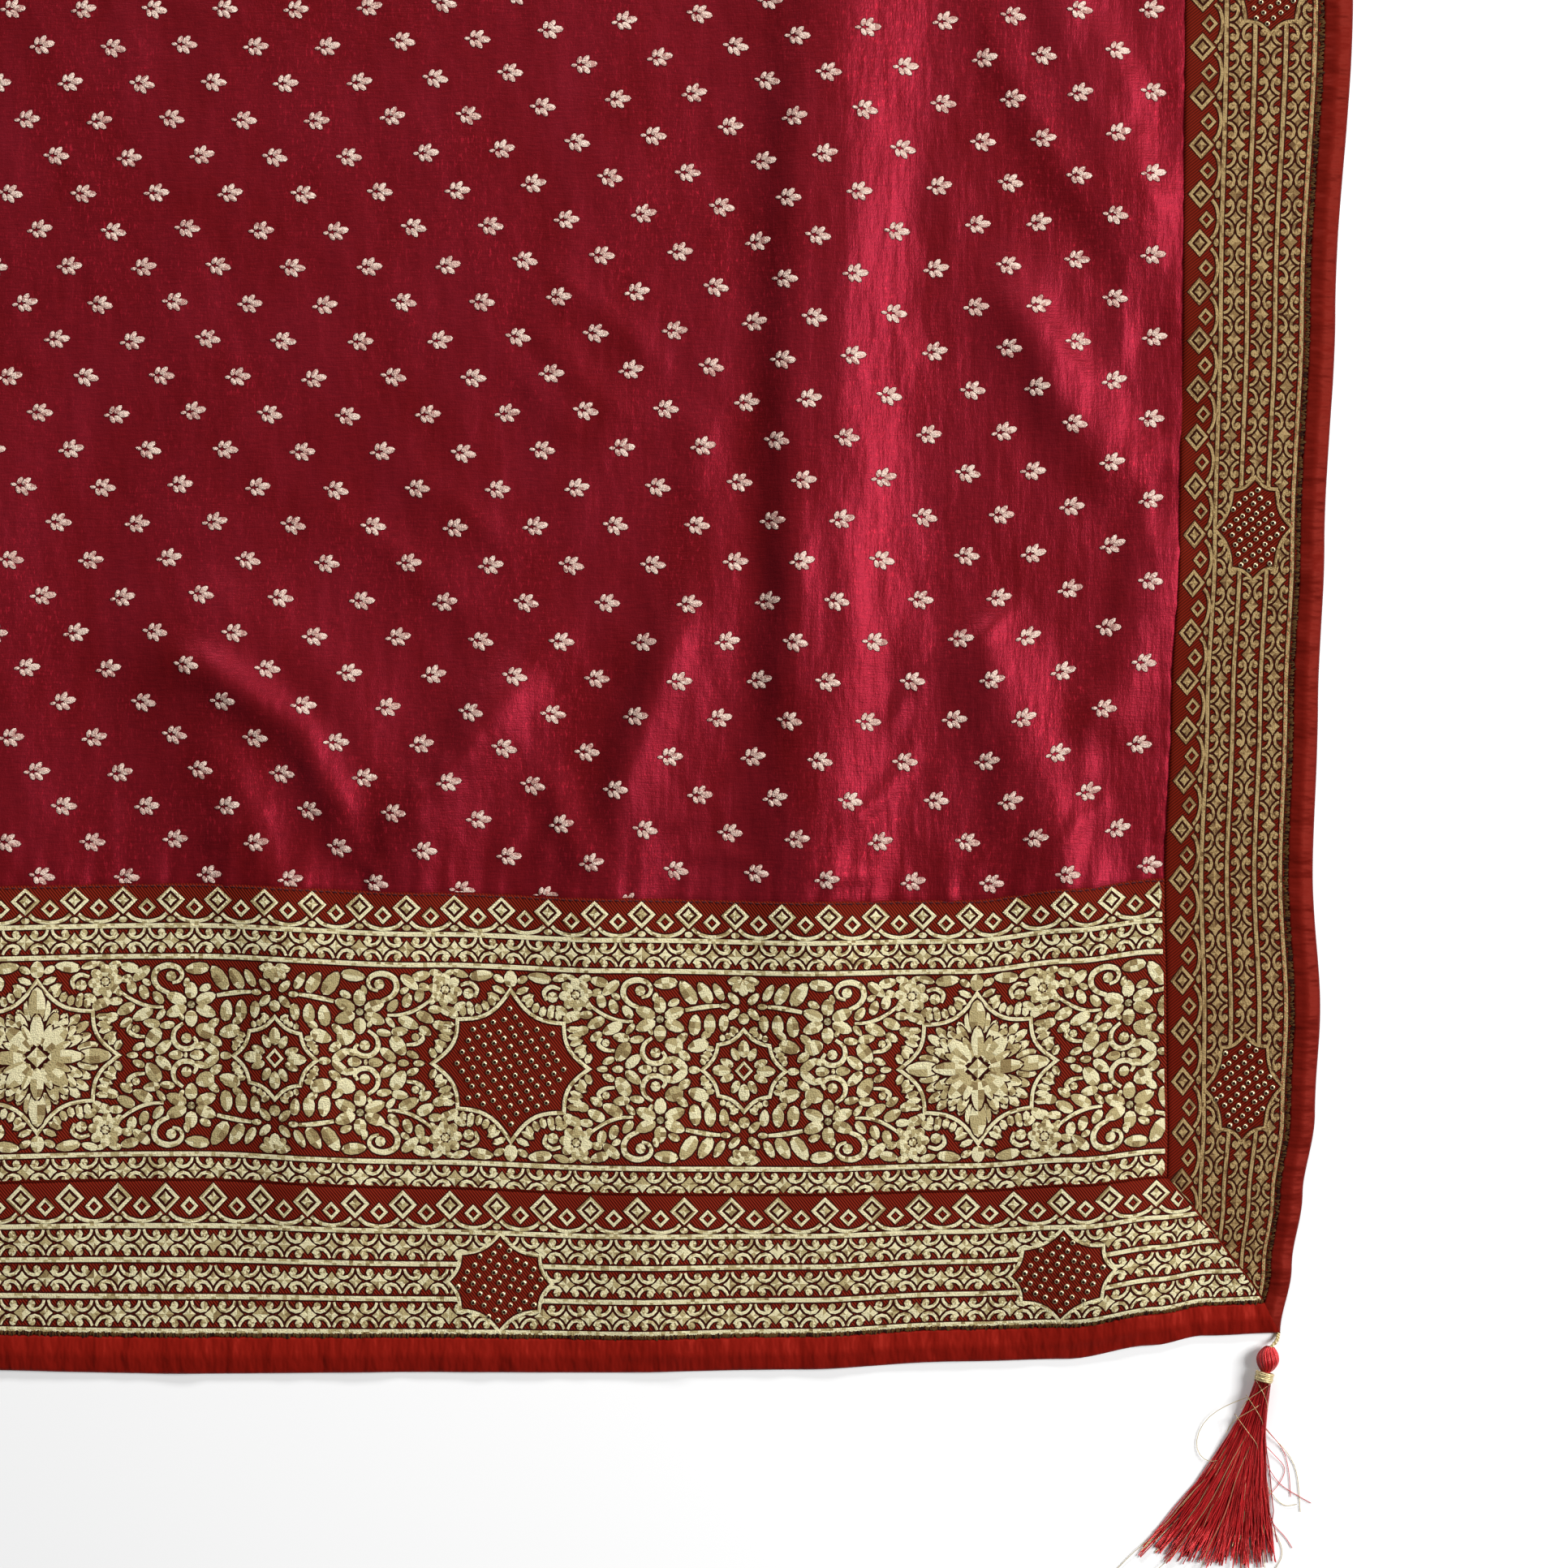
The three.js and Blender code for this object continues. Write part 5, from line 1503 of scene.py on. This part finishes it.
def skirt_paths(count, steps, collar_z, local):
    """The skirt's threads as d, s and height, each n, steps. They leave the collar in a round bundle, fan out
    in locks and come to lie on the table."""
    t = np.linspace(0, 1, steps)
    turn = local.uniform(0, 2 * np.pi, count)
    r = SKIRT_ROOT * np.sqrt(local.uniform(0, 1, count))
    root_s, root_z = r * np.cos(turn), collar_z + r * np.sin(turn) * 0.9
    share = np.clip(0.5 + 0.5 * root_s / SKIRT_ROOT + local.normal(0, 0.13, count), 0, 1)
    lock = np.clip((share * LOCKS).astype(int), 0, LOCKS - 1)
    angle = mix(*SPREAD, share) + local.normal(0, 0.02, count)
    lock_angle = mix(*SPREAD, (lock + 0.5) / LOCKS) + local.normal(0, 0.02, LOCKS)[lock]
    angle = mix(angle, lock_angle, CLINGING)
    uneven = 1 + local.uniform(-0.13, 0.03, count) + local.normal(0, 0.035, LOCKS)[lock]
    length = SKIRT_LENGTH * mix(0.98, 1.07, share) * uneven
    end_s = np.tan(angle) * length * 0.97
    d = 1.5 + t * length[:, None]
    s = root_s[:, None] * (1 - t) + end_s[:, None] * (0.36 * t + 0.64 * t**2.0)
    for turns, size in ((1, 0.9), (2, 0.5), (3.4, 0.35)):
        s = s + local.normal(0, size, count)[:, None] * np.sin(np.pi * turns * t) * t**0.5
    s = s + local.normal(0, 0.3, (count, steps)) * t
    pile = local.uniform(0, 1, count) * mix(4.4, 2.4, share)
    settled = 0.35 + pile[:, None] * (1 - 0.5 * t)
    z = mix(root_z[:, None], settled, smooth(t / 0.34))
    return d, s, np.maximum(0.3, z + local.normal(0, 0.16, (count, steps)) * t)


def tassel(side, inwards, count, steps):
    """One tassel, of count threads. inwards is 1 or -1, for the side on which the cloth's middle lies."""
    knot, collar = (
        np.array([p.co[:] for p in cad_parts[f"{side}_tassel_{part}"].data.vertices]).mean(0) / MM
        for part in ("knot", "collar")
    )
    axis = (collar - knot)[:2] / np.linalg.norm((collar - knot)[:2])
    across = np.array([-axis[1], axis[0]]) * inwards
    local = np.random.default_rng(11)

    def placed(d, s, z):
        at = collar[:2] + d[..., None] * axis + s[..., None] * across
        return np.concatenate([at, z[..., None]], -1)

    def round_axis(d, r, turn):
        return placed(np.broadcast_to(d, r.shape), r * np.cos(turn), collar[2] + r * np.sin(turn))

    paths = placed(*skirt_paths(count, steps, collar[2], local))
    gold, deep = local.uniform(0, 1, count) < 0.05, local.uniform(0, 1, count) < 0.4
    kinds = np.where(gold, 2, np.where(deep, 1, 0))
    tubes(f"{side}_tassel_threads", paths, np.where(kinds == 2, 0.17, 0.25)[:, None],
          [CRIMSON, DEEP_CRIMSON, GOLD_THREAD], kinds, node=f"{side}_tassel_skirt")

    # the knot: threads drawn over a ball, with a little twist
    strands = 40
    t = np.linspace(0, 1, 11)
    turn = np.linspace(0, 2 * np.pi, strands, endpoint=False)[:, None]
    turn = turn + 0.9 * t + local.normal(0, 0.03, (strands, 1))
    r = 0.7 + 3.1 * np.sin(np.pi * np.clip(t, 0.02, 0.98)) ** 0.62 + local.normal(0, 0.07, (strands, 1))
    kinds = (local.uniform(0, 1, strands) < 0.75).astype(int)
    tubes(f"{side}_knot_threads", round_axis(-11.6 + 9.4 * t, r, turn), 0.42, [CRIMSON, DEEP_CRIMSON], kinds,
          4, f"{side}_tassel_knot")

    # the collar: one gold thread wound round five times
    t = np.linspace(0, 1, 86)[None]
    turn = 2 * np.pi * 5 * t
    tubes(f"{side}_collar_thread", round_axis(-1.75 + 3.5 * t, 3.15 + 0.12 * np.sin(turn * 0.37), turn), 0.46,
          [GOLD_THREAD], [0], 6, f"{side}_tassel_collar")

    # the loop: two gold threads twisted round each other
    d, s, z = relaxed(LOOP_ROUTE, 34, 4).T
    turn = np.array([[0.0], [np.pi]]) + 2 * np.pi * 2.6 * np.linspace(0, 1, len(d))
    paths = placed(d + 0 * turn, s + 0.42 * np.cos(turn), z + 0.42 * np.sin(turn))
    tubes(f"{side}_loop_thread", paths, 0.44, [GOLD_THREAD], [0, 0], 6, f"{side}_tassel_loop")

    routes = [*CROSSING, *(route for _, route in LOOSE)]
    paths = [placed(d - 1.0, s, z) for d, s, z in (relaxed(route, 14, 3).T for route in routes)]
    kinds = [0] * len(CROSSING) + [kind for kind, _ in LOOSE]
    tubes(f"{side}_tassel_strays", paths, 0.16, [GOLD_THREAD, CRIMSON], kinds)


def overlocking(name, lines, pitch, half):
    """Threads that cross a seam to and fro. Each line has its start and end as u, v, and the way across."""
    threads = Collector()
    for start, end, across in lines:
        start, end, across = (np.array(p, float) for p in (start, end, across))
        length = np.linalg.norm(end - start)
        count = int(length / pitch)
        t = (np.arange(count * 2 + 1) / (2 * count))[:, None]
        to_and_fro = np.where(np.arange(len(t)) % 2 == 0, -1.0, 1.0)[:, None]
        swing = to_and_fro * (half + rng.normal(0, 0.24, (len(t), 1)))
        run = mix(start, end, t) + across * swing + (end - start) / length * rng.normal(0, 0.3, (len(t), 1))
        a, b = run[:-1], run[1:]
        d = b - a
        n = np.stack([-d[:, 1], d[:, 0]], 1) / np.linalg.norm(d, axis=1, keepdims=True)
        n = n * (0.30 + 0.07 * rng.uniform(-1, 1, (len(a), 1)))
        # each crossing is a flat pyramid: four corners and a raised middle
        corners = np.stack([a - n, a + n, b + n, b - n, (a + b) / 2], 1)
        u, v = corners[..., 0], corners[..., 1]
        z = height(u, v) + (0.12, 0.12, 0.12, 0.12, 0.75)
        base = (np.arange(len(a)) * 5)[:, None]
        sides = ((0, 3), (3, 2), (2, 1), (1, 0))
        faces = np.stack([np.hstack([base + i, base + j, base + 4, base + 4]) for i, j in sides], 1)
        kinds = np.repeat(rng.choice(2, len(a), p=(0.62, 0.38)), 4)
        threads.gather(np.stack([*lay_out(u, v), z], -1).reshape(-1, 3), faces.reshape(-1, 4), kinds)
    points, faces, kinds = threads.arrays()
    piece = make_piece(name, points, faces, [OVERLOCK, OVERLOCK_DARK], kinds)


def stitches(name, start, end, step, dash, width, material, slot_name):
    """Running stitches from one place u, v to another."""
    chart = Chart()
    chart.LINE = 0.12
    chart.leaf(0, 0, 0, dash, width, steps=4, blunt=True, rise=0.25)
    # the dark line round each stitch, the fourth material, is painted shadow
    gold = Gold(name, [material, material, material, DARK_STITCH_AND_SHADOW], slot_name)
    start, end = np.array(start, float), np.array(end, float)
    length = np.linalg.norm(end - start)
    d = (end - start) / length
    at = np.arange(step / 2, length, step)
    places = start + d * at[:, None] + rng.normal(0, 0.07, (len(at), 2))
    gold.place(chart, places, ((d[0], d[1]), (d[1], -d[0])))
    gold.build()


# ---------------------------------------------------------------- build the cloth

BINDING_STEP, LEFT_BINDING_STEP, LEFT_LACE_STEP = 1.3, 2.2, 8.0

ground_shell(SILK)
for name, outer_v, inner_v, step, material, slot_name, width in (
    ("pallu_band", BAND_V, FIELD_V, FINE, PALLU_TWILL, "zari_brocade", SAREE_WIDTH - 2 * FIELD_U),
    ("pallu_lace", LACE_V, BAND_V, FINE, PALLU_TWILL, "pallu_lace", SAREE_WIDTH - 2 * LACE_U),
    ("pallu_binding", 0.0, LACE_V, BINDING_STEP, SATIN, "satin_binding", SAREE_WIDTH),
):
    is_band = name == "pallu_band"
    piece = end_shell(
        "band_shell" if is_band else f"{name}_shell", outer_v, inner_v, step, material, name,
        square=is_band,
    )
for side in ("right", "left"):
    left = side == "left"
    for part, outer_u, inner_u, step, material, slot_name in (
        ("lace", LACE_U, FIELD_U, LEFT_LACE_STEP if left else FINE, EDGE_TWILL, "edge_lace"),
        ("binding", 0.0, LACE_U, LEFT_BINDING_STEP if left else BINDING_STEP, EDGE_SATIN, "satin_binding"),
    ):
        piece = side_shell(
            f"{side}_{part}_shell", outer_u, inner_u, step, left, material, f"{side}_{part}",
        )

beads = Beads()
for bead_u, bead_v in band_gold():
    beads.fill(LARGE_OUTLINE * 0.86, lambda x, y: np.stack([bead_u - x, bead_v + y], -1), True, 3.9)

EDGE_SPLIT = 610.0  # the right-hand lace is finely charted up to this v
EDGE_PITCH, EDGE_PHASE, PALLU_PHASE = 19.05, 9.3, 8.0
near, far = EDGE_MEDALLIONS[EDGE_MEDALLIONS < EDGE_SPLIT], EDGE_MEDALLIONS[EDGE_MEDALLIONS >= EDGE_SPLIT]
gold = Gold("pallu_lace_gold", [*PALE_ZARI, SHADOW], "pallu_lace")
lace_run(gold, beads, 0, SAREE_WIDTH, PALLU_MEDALLIONS, ON_PALLU, True, PALLU_PHASE, LACE_PITCH)
gold.build(lace_clip)
for name, v_from, v_to, medallions, way, full in (
    ("right_lace_gold", 0, EDGE_SPLIT, near, ON_RIGHT, True),
    ("right_lace_gold_far", EDGE_SPLIT, SAREE_LENGTH, far, ON_RIGHT, False),
    ("left_lace_gold", 0, SAREE_LENGTH, EDGE_MEDALLIONS, ON_LEFT, False),
):
    gold = Gold(name, [*SHADED_ZARI, EDGE_SHADOW], "edge_lace")
    lace_run(gold, beads, v_from, v_to, medallions, way, full, EDGE_PHASE, EDGE_PITCH)
    gold.build(edge_clip)
beads.build()
buttas()

# The overlocking lies on the seam between lace and binding, and the stitches beside the trims' other seams.
SEAM_U, SEAM_V = LACE_U + 0.4, LACE_V + 1
overlocking("overlock", (
    ((LACE_U + 0.6, LACE_V + 0.5), (SAREE_WIDTH - LACE_U - 0.6, LACE_V + 0.5), (0, 1)),
    ((SEAM_U, SEAM_V), (SEAM_U, EDGE_SPLIT), (1, 0)),
), 0.9, 0.8)
overlocking("overlock_far", (
    ((SEAM_U, EDGE_SPLIT), (SEAM_U, HEM_V), (1, 0)),
    ((SAREE_WIDTH - SEAM_U, SEAM_V), (SAREE_WIDTH - SEAM_U, HEM_V), (1, 0)),
), 6.4, 0.95)
stitches("edge_stitches", (LACE_U + 3.0, 20), (LACE_U + 3.0, EDGE_SPLIT), 2.9, 1.9, 0.4, ORANGE_STITCH,
         "satin_binding")
stitches("band_stitches", (FIELD_U, FIELD_V - 1.0), (SAREE_WIDTH - FIELD_U, FIELD_V - 1.0), 2.6, 1.7, 0.45,
         DARK_STITCH_AND_SHADOW, "edge_lace")
tassel("right", -1, 540, 12)
tassel("left", 1, 260, 8)

# ---------------------------------------------------------------- stage, light and camera

PHOTO_SCALE = 0.31  # millimetres for each pixel of the photograph
PHOTO_SIDE = 1932
CORNER_PIXEL = (1640, 1688.4)  # where the photograph has the undrawn corner, u = 0 and v = 0
FRAME_SIDE = PHOTO_SIDE * PHOTO_SCALE
centre_x = (SAREE_WIDTH / 2 + (PHOTO_SIDE / 2 - CORNER_PIXEL[0]) * PHOTO_SCALE + OFFSET[0]) * MM
centre_y = (-SAREE_LENGTH / 2 + (CORNER_PIXEL[1] - PHOTO_SIDE / 2) * PHOTO_SCALE + OFFSET[1]) * MM


def in_scene(name, data):
    thing = bpy.data.objects.new(name, data)
    bpy.context.scene.collection.objects.link(thing)
    return thing


FLOOR_HALF = 30.0
mesh = bpy.data.meshes.new("floor")
corners = [(x * FLOOR_HALF, y * FLOOR_HALF, 0) for x, y in ((-1, -1), (1, -1), (1, 1), (-1, 1))]
mesh.from_pydata(corners, [], [(0, 1, 2, 3)])
mesh.materials.append(plain_material("floor", (0.9, 0.9, 0.9), 0.7))
in_scene("floor", mesh)

world = bpy.data.worlds.new("world")
world.use_nodes = True
set_inputs(world.node_tree.nodes["Background"], Color=(1, 1, 1, 1), Strength=0.13)
bpy.context.scene.world = world
bpy.context.scene.view_settings.view_transform = "Standard"

# Lamps: place from the middle of the frame in metres, size and watts. The window stands to the right, and the
# low one above the frame gives the pallu end its shadow.
for name, offset, size, watts in (
    ("window", (2.1, 0.35, 1.85), (1.3, 1.3), 106), ("top", (-0.15, 2.0, 0.95), (1.2, 0.4), 35),
):
    light = bpy.data.lights.new(name, "AREA")
    light.shape, light.energy = "RECTANGLE", watts
    light.size, light.size_y = size
    lamp = in_scene(name, light)
    lamp.location = Vector((centre_x, centre_y, 0)) + Vector(offset)
    lamp.rotation_euler = (-Vector(offset)).to_track_quat("-Z", "Y").to_euler()

LENS, SENSOR = 85.0, 36.0
camera_data = bpy.data.cameras.new("camera")
camera_data.lens, camera_data.sensor_width, camera_data.clip_end = LENS, SENSOR, 50.0
camera = in_scene("camera", camera_data)
camera.location = (centre_x, centre_y, FRAME_SIDE * MM * LENS / SENSOR)
bpy.context.scene.camera = camera
